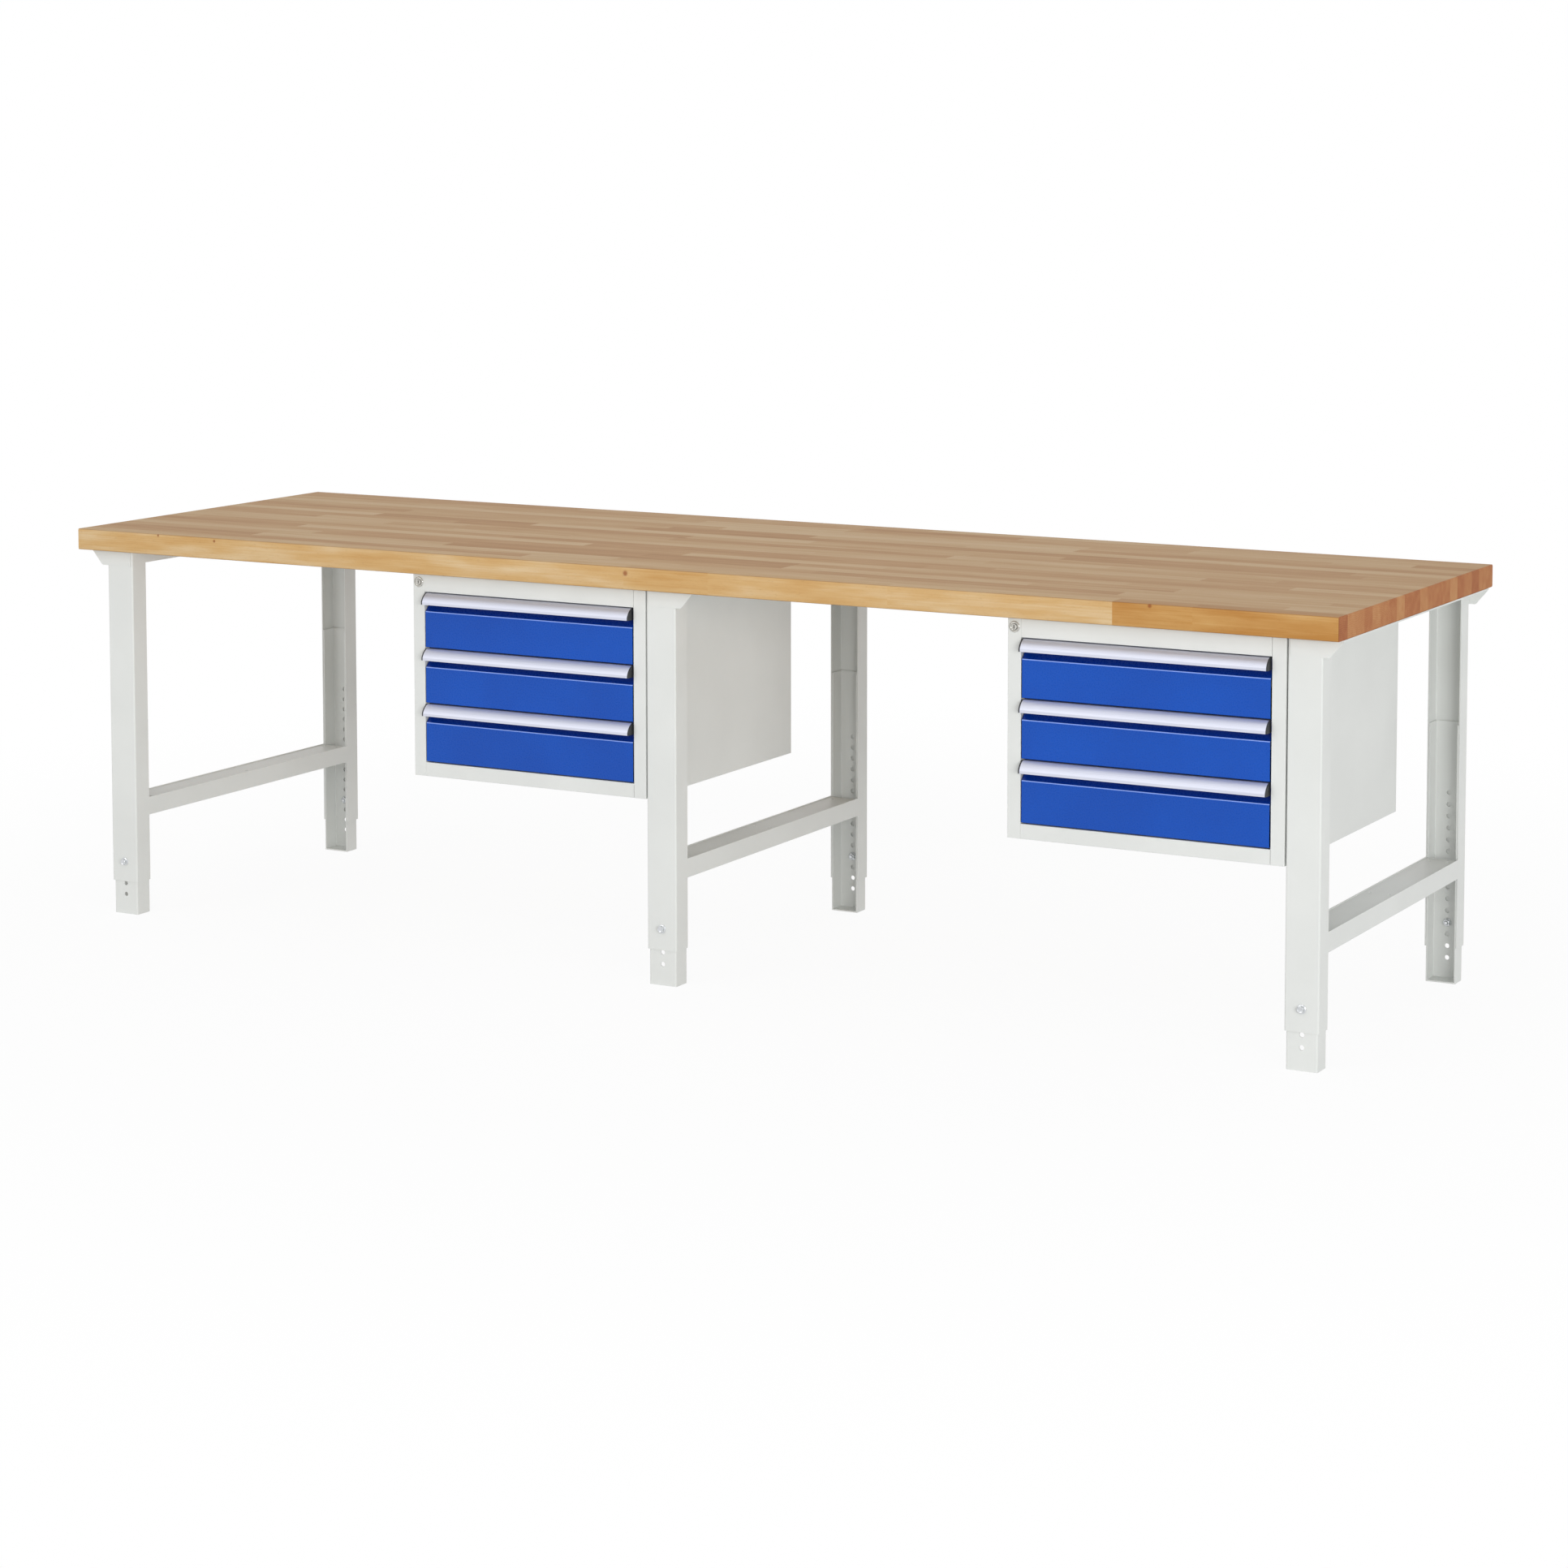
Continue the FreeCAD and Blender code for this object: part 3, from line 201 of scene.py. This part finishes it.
def satin_aluminium():
    """Anodised aluminium, drawn and etched: a satin grey-lavender sheen with faint lines along the profile.
    The drawing lines are about 0.2 mm apart and are drawn at 1.2 mm, so that they show."""
    made, tree, surface, place = start_material("satin_anodised_aluminium")
    line_size, line_length = 1.2 * MM, 260 * MM
    lines_at = put(
        tree,
        "ShaderNodeMapping",
        {"Vector": place, "Scale": (1 / line_length, 1 / line_size, 1 / line_size)},
    )
    lines = put(tree, "ShaderNodeTexNoise", {"Vector": lines_at, "Scale": 1.0, "Detail": 4.0})
    tone = put(tree, "ShaderNodeValToRGB", {"Fac": lines}, [(0.3, "#CACDDA"), (0.7, "#D4D6E2")])
    rough = put(tree, "ShaderNodeMapRange", {"Value": lines, "To Min": 0.46, "To Max": 0.54})
    finish_material(tree, surface, tone, lines, depth=0.2 * MM, strength=0.03, roughness=rough)
    surface.inputs["Metallic"].default_value = 0.8
    return made


def moulded_plastic(name, pale, deep):
    """Moulded plastic: a matt spark-eroded grain of about 0.5 mm, drawn at 1.5 mm so that it shows."""
    made, tree, surface, place = start_material(name)
    grain_size = 1.5 * MM
    grain = put(tree, "ShaderNodeTexNoise", {"Vector": place, "Scale": 1 / grain_size, "Detail": 2.0})
    tone = put(tree, "ShaderNodeValToRGB", {"Fac": grain}, [(0.35, deep), (0.65, pale)])
    finish_material(tree, surface, tone, grain, depth=0.2 * MM, strength=0.15)
    surface.inputs["Roughness"].default_value = 0.5
    return made


def plated_steel(name, pale, deep, roughness):
    """Plated steel, zinc or nickel: bright, with faint soft clouds about 4 mm across, where the bath worked
    unevenly."""
    made, tree, surface, place = start_material(name)
    cloud_size = 4 * MM
    roughness_spread = 0.04
    cloud = put(tree, "ShaderNodeTexNoise", {"Vector": place, "Scale": 1 / cloud_size, "Detail": 2.0})
    tone = put(tree, "ShaderNodeValToRGB", {"Fac": cloud}, [(0.35, deep), (0.65, pale)])
    rough = put(
        tree,
        "ShaderNodeMapRange",
        {"Value": cloud, "To Min": roughness - roughness_spread, "To Max": roughness + roughness_spread},
    )
    finish_material(tree, surface, tone, cloud, depth=0.05 * MM, strength=0.05, roughness=rough)
    surface.inputs["Metallic"].default_value = 1.0
    return made


def oiled_beech():
    """Oiled beech, sanded flat: thin streaks along each stave, cloudy honey-coloured edges with pin knots, and
    redder end grain with growth rings. Each stave brings its own tone and its own stretch of grain."""
    made, tree, surface, place = start_material("oiled_beech_staves")
    tone = put(tree, "ShaderNodeAttribute", attribute_name="stave_tone").outputs["Fac"]
    seed = put(tree, "ShaderNodeAttribute", attribute_name="stave_seed").outputs["Fac"]
    # A stave's grain is moved by its seed times this many metres.
    longest_jump = (3.1, 1.7, 2.3)
    jump = put(tree, "ShaderNodeVectorMath", {0: longest_jump, "Scale": seed}, operation="SCALE")
    moved = put(tree, "ShaderNodeVectorMath", {0: place, 1: jump}, operation="ADD")

    # Streaks of early and late wood, about 2.5 mm wide on the sawn face and a few hundred long.
    streak_width, streak_length = 2.5 * MM, 420 * MM
    streak_at = put(
        tree,
        "ShaderNodeMapping",
        {"Vector": moved, "Scale": (1 / streak_length, 1 / streak_width, 1 / streak_width)},
    )
    streaks = put(tree, "ShaderNodeTexNoise", {"Vector": streak_at, "Scale": 1.0, "Detail": 4.0})
    # Clouds: slow changes of colour along the stave.
    cloud_width, cloud_length = 22 * MM, 170 * MM
    cloud_at = put(
        tree,
        "ShaderNodeMapping",
        {"Vector": moved, "Scale": (1 / cloud_length, 1 / cloud_width, 1 / cloud_width)},
    )
    clouds = put(tree, "ShaderNodeTexNoise", {"Vector": cloud_at, "Scale": 1.0, "Detail": 3.0})
    # Flecks: the short dark dashes of beech, about 3 mm long, drawn at 9 mm so that they show.
    fleck_width, fleck_length = 1.6 * MM, 9 * MM
    fleck_at = put(
        tree,
        "ShaderNodeMapping",
        {"Vector": place, "Scale": (1 / fleck_length, 1 / fleck_width, 1 / fleck_width)},
    )
    flecks = put(tree, "ShaderNodeTexNoise", {"Vector": fleck_at, "Scale": 1.0, "Detail": 1.0})
    fleck = put(
        tree,
        "ShaderNodeMapRange",
        {"Value": flecks, "From Min": 0.62, "From Max": 0.74, "To Max": 0.14},
    )
    # Growth rings on the end grain, about 2 mm apart, drawn at 4 mm so that they show. At a scale of 1 the wave
    # repeats every tau / 20.
    ring_gap, wave_gap = 4 * MM, math.tau / 20
    rings = put(
        tree,
        "ShaderNodeTexWave",
        {"Vector": moved, "Scale": wave_gap / ring_gap, "Distortion": 6.0, "Detail": 2.0},
        wave_type="RINGS",
        rings_direction="X",
    )

    # Each side of the board weighs the stave's tone, its streaks or rings and its clouds in its own way.
    looks = {
        # The top's stops are greyer than the edge's: the beech's own colour greyed by a painted sheen, standing
        # in for the grazing reflection off the top.
        "top": (
            ((tone, 0.34), (streaks, 0.5), (clouds, 0.3)),
            [(0.3, "#A2794F"), (0.48, "#B68F66"), (0.62, "#C0A078"), (0.8, "#CBB08C")],
        ),
        "edge": (
            ((tone, 0.42), (streaks, 0.25), (clouds, 0.7)),
            [(0.4, "#B68040"), (0.6, "#C5975A"), (0.77, "#CFA973"), (1.0, "#DBC29A")],
        ),
        "end": (
            ((tone, 0.42), (rings.outputs["Fac"], 0.12), (clouds, 0.5)),
            [(0.15, "#97552F"), (0.4, "#AA6A3F"), (0.65, "#BA8252"), (0.95, "#C79A68")],
        ),
    }
    colours = {}
    for side, (parts, stops) in looks.items():
        shade = 0.0
        for part, weight in parts:
            shade = put(tree, "ShaderNodeMath", {0: part, 1: weight, 2: shade}, operation="MULTIPLY_ADD")
        colours[side] = put(tree, "ShaderNodeValToRGB", {"Fac": shade}, stops)
    # A side is an edge or an end where its surface looks mostly along y or x.
    mostly = 0.6
    normal = put(tree, "ShaderNodeNewGeometry").outputs["Normal"]
    facing = put(tree, "ShaderNodeSeparateXYZ", {"Vector": normal})
    across = put(tree, "ShaderNodeMath", {0: facing.outputs["Y"]}, operation="ABSOLUTE")
    along = put(tree, "ShaderNodeMath", {0: facing.outputs["X"]}, operation="ABSOLUTE")
    on_edge = put(tree, "ShaderNodeMath", {0: across, 1: mostly}, operation="GREATER_THAN")
    on_end = put(tree, "ShaderNodeMath", {0: along, 1: mostly}, operation="GREATER_THAN")
    wood = put(tree, "ShaderNodeMix", {0: on_edge, 6: colours["top"], 7: colours["edge"]}, data_type="RGBA")
    wood = put(tree, "ShaderNodeMix", {0: on_end, 6: wood, 7: colours["end"]}, data_type="RGBA")
    wood = put(tree, "ShaderNodeMix", {0: fleck, 6: wood, 7: linear("#8A5A32")}, data_type="RGBA")
    # The eased arris is drawn darker: it is darkest where the surface leans halfway between top and edge.
    halfway = 0.7
    lean = put(tree, "ShaderNodeMath", {0: across, 1: halfway}, operation="SUBTRACT")
    lean = put(tree, "ShaderNodeMath", {0: lean}, operation="ABSOLUTE")
    darker_arris = put(tree, "ShaderNodeMapRange", {"Value": lean, "From Min": 0.26, "From Max": 0.1, "To Max": 0.5})
    wood = put(tree, "ShaderNodeMix", {0: darker_arris, 6: wood, 7: linear("#7E5230")}, data_type="RGBA")
    # The pin knots on the front edge.
    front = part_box("worktop")[0].y
    for x, z, radius in KNOTS:
        gap = put(tree, "ShaderNodeVectorMath", {0: place, 1: (x, front, z)}, operation="DISTANCE")
        knot = put(
            tree,
            "ShaderNodeMapRange",
            {"Value": gap, "From Min": radius, "From Max": 0.3 * radius, "To Max": 0.75},
            interpolation_type="SMOOTHSTEP",
        )
        wood = put(tree, "ShaderNodeMix", {0: knot, 6: wood, 7: linear("#8A4420")}, data_type="RGBA")
    finish_material(tree, surface, wood, streaks, depth=0.2 * MM, strength=0.08)
    surface.inputs["Roughness"].default_value = 0.6
    surface.inputs["Specular IOR Level"].default_value = 0.2
    return made


def ring_quads(rings, sides, closed=False):
    """Faces of a grid of rings by sides: each ring closes on itself, and the last joins the first if closed."""
    ring, side = np.meshgrid(np.arange(rings if closed else rings - 1), np.arange(sides), indexing="ij")
    onward, beside = (ring + 1) % rings * sides, (side + 1) % sides
    ring = ring * sides
    return np.stack([ring + side, ring + beside, onward + beside, onward + side], -1).reshape(-1, 4)


def add_piece(name, points, faces, material, slot, *replaced):
    """A mesh object at the origin that rides on the bench and stands for the CAD nodes it replaces. Bends under
    35 degrees are shaded smooth."""
    mesh = bpy.data.meshes.new(name)
    mesh.from_pydata(points.tolist(), [], faces)
    mesh.polygons.foreach_set("use_smooth", np.ones(len(faces), bool))
    mesh.set_sharp_from_angle(angle=math.radians(35))
    mesh.materials.append(material)
    piece = bpy.data.objects.new(name, mesh)
    bpy.context.scene.collection.objects.link(piece)
    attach(piece, "bench")
    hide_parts(*replaced)
    return mesh


def add_beech_board(material):
    """The worktop: a section with eased corners and a point at every glue line, carried along x through every
    butt joint, and drawn in by half the arris at both ends. A face takes the tone and seed of its stave."""
    low, high = (np.array(corner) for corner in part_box("worktop"))
    chance = np.random.default_rng(11)
    lines = np.linspace(low[1], high[1], STAVE_ROWS + 1)[1:-1]
    turn = np.linspace(0, math.pi / 2, 4)

    def corner(y, z, start):
        return np.stack([y + ARRIS * np.cos(start + turn), z + ARRIS * np.sin(start + turn)], 1)

    front, back, foot, head = low[1] + ARRIS, high[1] - ARRIS, low[2] + ARRIS, high[2] - ARRIS
    section = np.concatenate(
        [
            np.stack([lines, np.full_like(lines, low[2])], 1),
            corner(back, foot, -math.pi / 2),
            corner(back, head, 0.0),
            np.stack([lines[::-1], np.full_like(lines, high[2])], 1),
            corner(front, head, math.pi / 2),
            corner(front, foot, math.pi),
        ]
    )
    # The section runs back along the bottom, up two corners, forward along the top and down two corners.
    count, around, bend = len(lines), len(section), 2 * len(turn)
    last_above = 2 * count + bend - 1
    most_staves = 12
    joints = [np.array(FRONT_JOINTS)]
    tones = [np.array(FRONT_TONES)]
    for _ in range(STAVE_ROWS - 1):
        lengths = chance.uniform(*STAVE_LENGTHS, most_staves)
        ends = low[0] - chance.uniform(0, STAVE_LENGTHS[1]) + np.cumsum(lengths)
        inside = ends[(ends > low[0] + SHORTEST_PIECE) & (ends < high[0] - SHORTEST_PIECE)]
        joints.append(inside)
        tones.append(chance.uniform(0, 1, len(inside) + 1))
    drawn_in = ARRIS / 2
    stations = np.concatenate([[low[0], low[0] + drawn_in], *joints, [high[0] - drawn_in, high[0]]])
    stations = np.unique(stations.round(6))

    middle = (low[1:] + high[1:]) / 2
    shrink = np.where((stations == stations[0]) | (stations == stations[-1]), drawn_in, 0.0)
    inset = section[None] - np.sign(section - middle)[None] * shrink[:, None, None] * (
        np.abs(section - middle) > (high[1:] - low[1:]) / 2 - 2 * ARRIS
    )
    along = np.broadcast_to(stations[:, None, None], (*inset.shape[:2], 1))
    points = np.concatenate([along, inset], 2).reshape(-1, 3)

    quads = ring_quads(len(stations), around)
    step = np.arange(around)
    row_of_step = np.select(
        [step < count - 1, step < count + bend, step < last_above],
        [step + 1, STAVE_ROWS - 1, last_above - step],
        0,
    )
    rows = np.tile(row_of_step, len(stations) - 1)
    places = np.repeat((stations[:-1] + stations[1:]) / 2, around)
    right_end = [[r, r + 1, last_above - r - 1, last_above - r] for r in range(count - 1)]
    right_end.append(list(range(count - 1, count + bend + 1)))
    right_end.append([*range(last_above, around), 0])
    left_end = [face[::-1] for face in right_end]
    end_rows = [*range(1, count), STAVE_ROWS - 1, 0]
    shift = (len(stations) - 1) * around
    faces = quads.tolist() + [[i + shift for i in face] for face in right_end] + left_end
    rows = np.concatenate([rows, end_rows, end_rows])
    places = np.concatenate([places, np.full(len(end_rows), high[0]), np.full(len(end_rows), low[0])])

    tone, seed = np.zeros(len(faces)), np.zeros(len(faces))
    for row in range(STAVE_ROWS):
        here = rows == row
        stave = np.searchsorted(joints[row], places[here])
        tone[here] = tones[row][stave]
        seed[here] = chance.uniform(0, 1, len(tones[row]))[stave]
    mesh = add_piece("beech_board", points, faces, material, "beech", "worktop")
    for name, amounts in (("stave_tone", tone), ("stave_seed", seed)):
        mesh.attributes.new(name, "FLOAT", "FACE").data.foreach_set("value", amounts)


def turned(profile, flats=None, sides=FASTENER_SIDES):
    """Rings about an axis, one for each (distance outwards, radius) of a profile in millimetres. Where flats is
    given, the rings are cut to a hexagon: at each angle the radius is the smaller of the ring's and the
    hexagon's, which is the distance to a flat over the cosine of the angle from that flat's middle."""
    out, radius = np.array(profile).T * MM
    angle = np.arange(sides) * math.tau / sides
    radii = np.broadcast_to(radius[:, None], (len(out), sides))
    if flats:
        lean = (angle + math.pi / 6) % (math.pi / 3) - math.pi / 6
        radii = np.minimum(radii, flats / np.cos(lean))
    away = np.broadcast_to(out[:, None], radii.shape)
    return np.stack([radii * np.cos(angle), radii * np.sin(angle), away], -1).reshape(-1, 3)


def set_in_place(shape, x, y, z, rear):
    """A turned shape put at a place, with its axis to the front, or half turned to face the rear."""
    hand = -1 if rear else 1
    return np.stack([x + hand * shape[:, 0], y - hand * shape[:, 2], z + shape[:, 1]], 1)


def leg_bolt_places():
    """The middle of each height bolt on its leg's outer face, and whether it faces the rear."""
    low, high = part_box("leg_nuts")
    for side in FRAMES:
        for end in ENDS:
            leg_low, leg_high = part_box(f"{side}_{end}_outer_leg")
            rear = end == "rear"
            yield (leg_low.x + leg_high.x) / 2, leg_high.y if rear else leg_low.y, (low.z + high.z) / 2, rear


def nut_seat():
    """How far a nut's flange lies behind its leg's outer face."""
    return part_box("leg_nuts")[0].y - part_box("left_front_outer_leg")[0].y


def add_leg_bolts(material):
    """M8 flanged bolts: a threaded shank, whose radius falls and rises once in each turn and tapers at the
    point, a thin flange, and a chamfered hexagon head with a shallow dish."""
    length = nut_seat() + BOLT_PAST_SEAT
    out = np.linspace(-length, 0, RINGS_PER_TURN * round(length / THREAD_PITCH))
    shank = turned(np.stack([out, np.full_like(out, BOLT_RADIUS)], 1) / MM)
    turn = np.tile(np.arange(FASTENER_SIDES) / FASTENER_SIDES, len(out))
    depth = THREAD_DEPTH * np.abs(((shank[:, 2] / THREAD_PITCH - turn) % 1) * 2 - 1)
    depth = np.maximum(depth, np.clip(BOLT_POINT - (shank[:, 2] + length), 0, BOLT_POINT))
    shank[:, :2] *= (1 - depth / BOLT_RADIUS)[:, None]
    shape = np.concatenate([shank, turned(BOLT_FLANGE), turned(BOLT_HEAD, HEXAGON_FLATS)])
    rings = len(shape) // FASTENER_SIDES
    first_ring, last_ring = range(FASTENER_SIDES), range((rings - 1) * FASTENER_SIDES, len(shape))
    quads = ring_quads(rings, FASTENER_SIDES).tolist()
    quads += [list(first_ring)[::-1], list(last_ring)]
    points, faces = [], []
    for place in leg_bolt_places():
        faces += [[i + len(points) * len(shape) for i in face] for face in quads]
        points.append(set_in_place(shape, *place))
    add_piece("flanged_leg_bolts", np.concatenate(points), faces, material, "zinc_plated_steel", "leg_bolts")


def add_leg_nuts(material):
    """Flanged M8 nuts: a chamfered hexagon on a flange, bored through. The rings run out along the outside and
    back through the bore, and the last joins the first."""
    shape = np.concatenate([turned(NUT_HEXAGON, HEXAGON_FLATS), turned(NUT_FLANGE), turned(NUT_BORE)])
    shape[:, 2] -= nut_seat()
    quads = ring_quads(len(shape) // FASTENER_SIDES, FASTENER_SIDES, closed=True)
    points = [set_in_place(shape, *place) for place in leg_bolt_places()]
    faces = np.concatenate([quads + number * len(shape) for number in range(len(points))]).tolist()
    add_piece("flanged_leg_nuts", np.concatenate(points), faces, material, "zinc_plated_steel", "leg_nuts")


def add_lock_bodies(material):
    """Cam-lock bodies: a barrel behind the stile and a rolled ring with a groove in front, bored for the plug.
    The rings run out along the barrel, over the rolled rim and back through the bore."""
    low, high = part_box("lock_bodies")
    face = low.y + LOCK_RIM_PROUD
    barrel = np.array(LOCK_BARREL) - ((high.y - face) / MM, 0)
    profile = np.concatenate([barrel, LOCK_RIM])
    shape = turned(profile, sides=LOCK_SIDES)
    quads = ring_quads(len(profile), LOCK_SIDES, closed=True)
    middles = (low.x + LOCK_RIM_RADIUS, high.x - LOCK_RIM_RADIUS)
    points = [set_in_place(shape, x, face, (low.z + high.z) / 2, False) for x in middles]
    faces = np.concatenate([quads + number * len(shape) for number in range(len(points))]).tolist()
    add_piece("rolled_lock_bodies", np.concatenate(points), faces, material, "chrome", "lock_bodies")


def paint(material, *names):
    """Gives CAD pieces a material."""
    for name in names:
        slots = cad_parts[name].data.materials
        slots.clear()
        slots.append(material)


def dress_bench():
    """Every CAD piece gets its finish, and the worktop, bolts, nuts and locks get their fuller forms."""
    grey = powder_coat("light_grey_powder_coat", "#E2E4E1", "#DEE0DD", 0.42, 0.5)
    # The blue's last two colours are a painted highlight over the bends and painted shade in the hollows behind
    # them.
    blue = powder_coat("blue_powder_coat", "#004EB6", "#0049AE", 0.28, 0.3, "#90AEFA", "#002D88")
    aluminium = satin_aluminium()
    zinc = plated_steel("bright_zinc_plate", "#D8DADC", "#CACDD0", 0.3)
    nickel = plated_steel("nickel_plate", "#CECCC6", "#BAB8B1", 0.16)
    black = moulded_plastic("black_moulded_plastic", "#2A2C30", "#1B1D20")
    add_beech_board(oiled_beech())
    add_leg_bolts(zinc)
    add_leg_nuts(zinc)
    add_lock_bodies(nickel)
    for side in FRAMES:
        for end in ENDS:
            paint(grey, f"{side}_{end}_outer_leg", f"{side}_{end}_inner_leg")
        paint(grey, f"{side}_stretcher", f"{side}_top_rail")
    for side in SIDES:
        paint(grey, f"{side}_cabinet_housing", f"{side}_cabinet_front_frame")
        paint(nickel, f"{side}_lock_plug")
        paint(zinc, f"{side}_locking_bar")
        for level in LEVELS:
            drawer = f"{side}_{level}_drawer"
            paint(grey, f"{drawer}_box")
            paint(blue, f"{drawer}_front")
            paint(aluminium, f"{drawer}_handle")
            paint(black, f"{drawer}_handle_caps")
    paint(grey, "runner_posts")
    paint(zinc, "drawer_runners", "worktop_screws", "cabinet_screws")
    paint(black, "runner_rollers")


def add_camera():
    """The photograph's camera: its principal point lies off the picture's middle, so the camera is shifted."""
    lens = bpy.data.cameras.new("camera")
    lens.sensor_width = SENSOR
    lens.lens = SENSOR * FOCAL_PIXELS / PHOTO_SIDE
    lens.shift_x = 0.5 - PRINCIPAL_X / PHOTO_SIDE
    lens.shift_y = PRINCIPAL_Y / PHOTO_SIDE - 0.5
    lens.clip_end = 200
    camera = bpy.data.objects.new("camera", lens)
    camera.location = CAMERA_PLACE
    camera.rotation_euler = (math.radians(90 + CAMERA_PITCH), 0, math.radians(CAMERA_YAW))
    bpy.context.scene.collection.objects.link(camera)
    bpy.context.scene.camera = camera


def white_where_seen(tree, shaded, output, share):
    """Mixes a share of white glow into a shader, for rays from the camera and off mirrors and glass."""
    rays = put(tree, "ShaderNodeLightPath")
    seen = rays.outputs["Is Camera Ray"]
    for kind in ("Is Glossy Ray", "Is Transmission Ray"):
        seen = put(tree, "ShaderNodeMath", {0: seen, 1: rays.outputs[kind]}, operation="MAXIMUM")
    glow = put(tree, "ShaderNodeEmission", {"Color": (1, 1, 1, 1), "Strength": 1.0})
    amount = put(tree, "ShaderNodeMath", {0: seen, 1: share}, operation="MULTIPLY")
    mixed = put(tree, "ShaderNodeMixShader", {0: amount, 1: shaded, 2: glow})
    tree.links.new(mixed.outputs["Shader"], output.inputs["Surface"])


def add_floor():
    """A white floor that keeps a faint shadow. Its glow grows to pure white some way from the bench's middle,
    so that no horizon shows."""
    half = 60.0
    near, far, near_share = 1.2, 3.5, 0.93
    corners = [(-half, -half, 0), (half, -half, 0), (half, half, 0), (-half, half, 0)]
    mesh = bpy.data.meshes.new("floor")
    mesh.from_pydata(corners, [], [(0, 1, 2, 3)])
    floor = bpy.data.objects.new("floor", mesh)
    bpy.context.scene.collection.objects.link(floor)
    made, tree, surface, place = start_material("white_studio_floor")
    surface.inputs["Base Color"].default_value = linear("#FAFAFA")
    surface.inputs["Roughness"].default_value = 0.9
    surface.inputs["Specular IOR Level"].default_value = 0.0
    distance = put(tree, "ShaderNodeVectorMath", {0: place}, operation="LENGTH").outputs["Value"]
    share = put(
        tree,
        "ShaderNodeMapRange",
        {"Value": distance, "From Min": near, "From Max": far, "To Min": near_share},
        interpolation_type="SMOOTHSTEP",
    )
    white_where_seen(tree, surface, tree.nodes["Material Output"], share)
    mesh.materials.append(made)


def add_light():
    """A white world and soft boxes: a wide one in front on the right, a fill on the left, one above, and a
    narrow one that draws bright lines along the sheet's bends."""
    world = bpy.data.worlds.new("white_studio")
    bpy.context.scene.world = world
    world.use_nodes = True
    tree = world.node_tree
    soft = put(tree, "ShaderNodeBackground", {"Color": (1, 1, 1, 1), "Strength": WORLD_STRENGTH})
    white_where_seen(tree, soft, tree.nodes["World Output"], 1.0)
    for name, place, width, height, watts in SOFT_BOXES:
        lamp = bpy.data.lights.new(name, "AREA")
        lamp.shape = "RECTANGLE"
        lamp.size = width
        lamp.size_y = height
        lamp.energy = watts
        holder = bpy.data.objects.new(name, lamp)
        holder.location = place
        holder.visible_camera = False
        away = np.subtract(place, BENCH_MIDDLE)
        turn = math.atan2(away[0], -away[1])
        tilt = math.atan2(math.hypot(away[0], away[1]), away[2])
        holder.rotation_euler = (tilt, 0, turn)
        bpy.context.scene.collection.objects.link(holder)
    bpy.context.scene.view_settings.view_transform = "Standard"


dress_bench()
add_camera()
add_floor()
add_light()
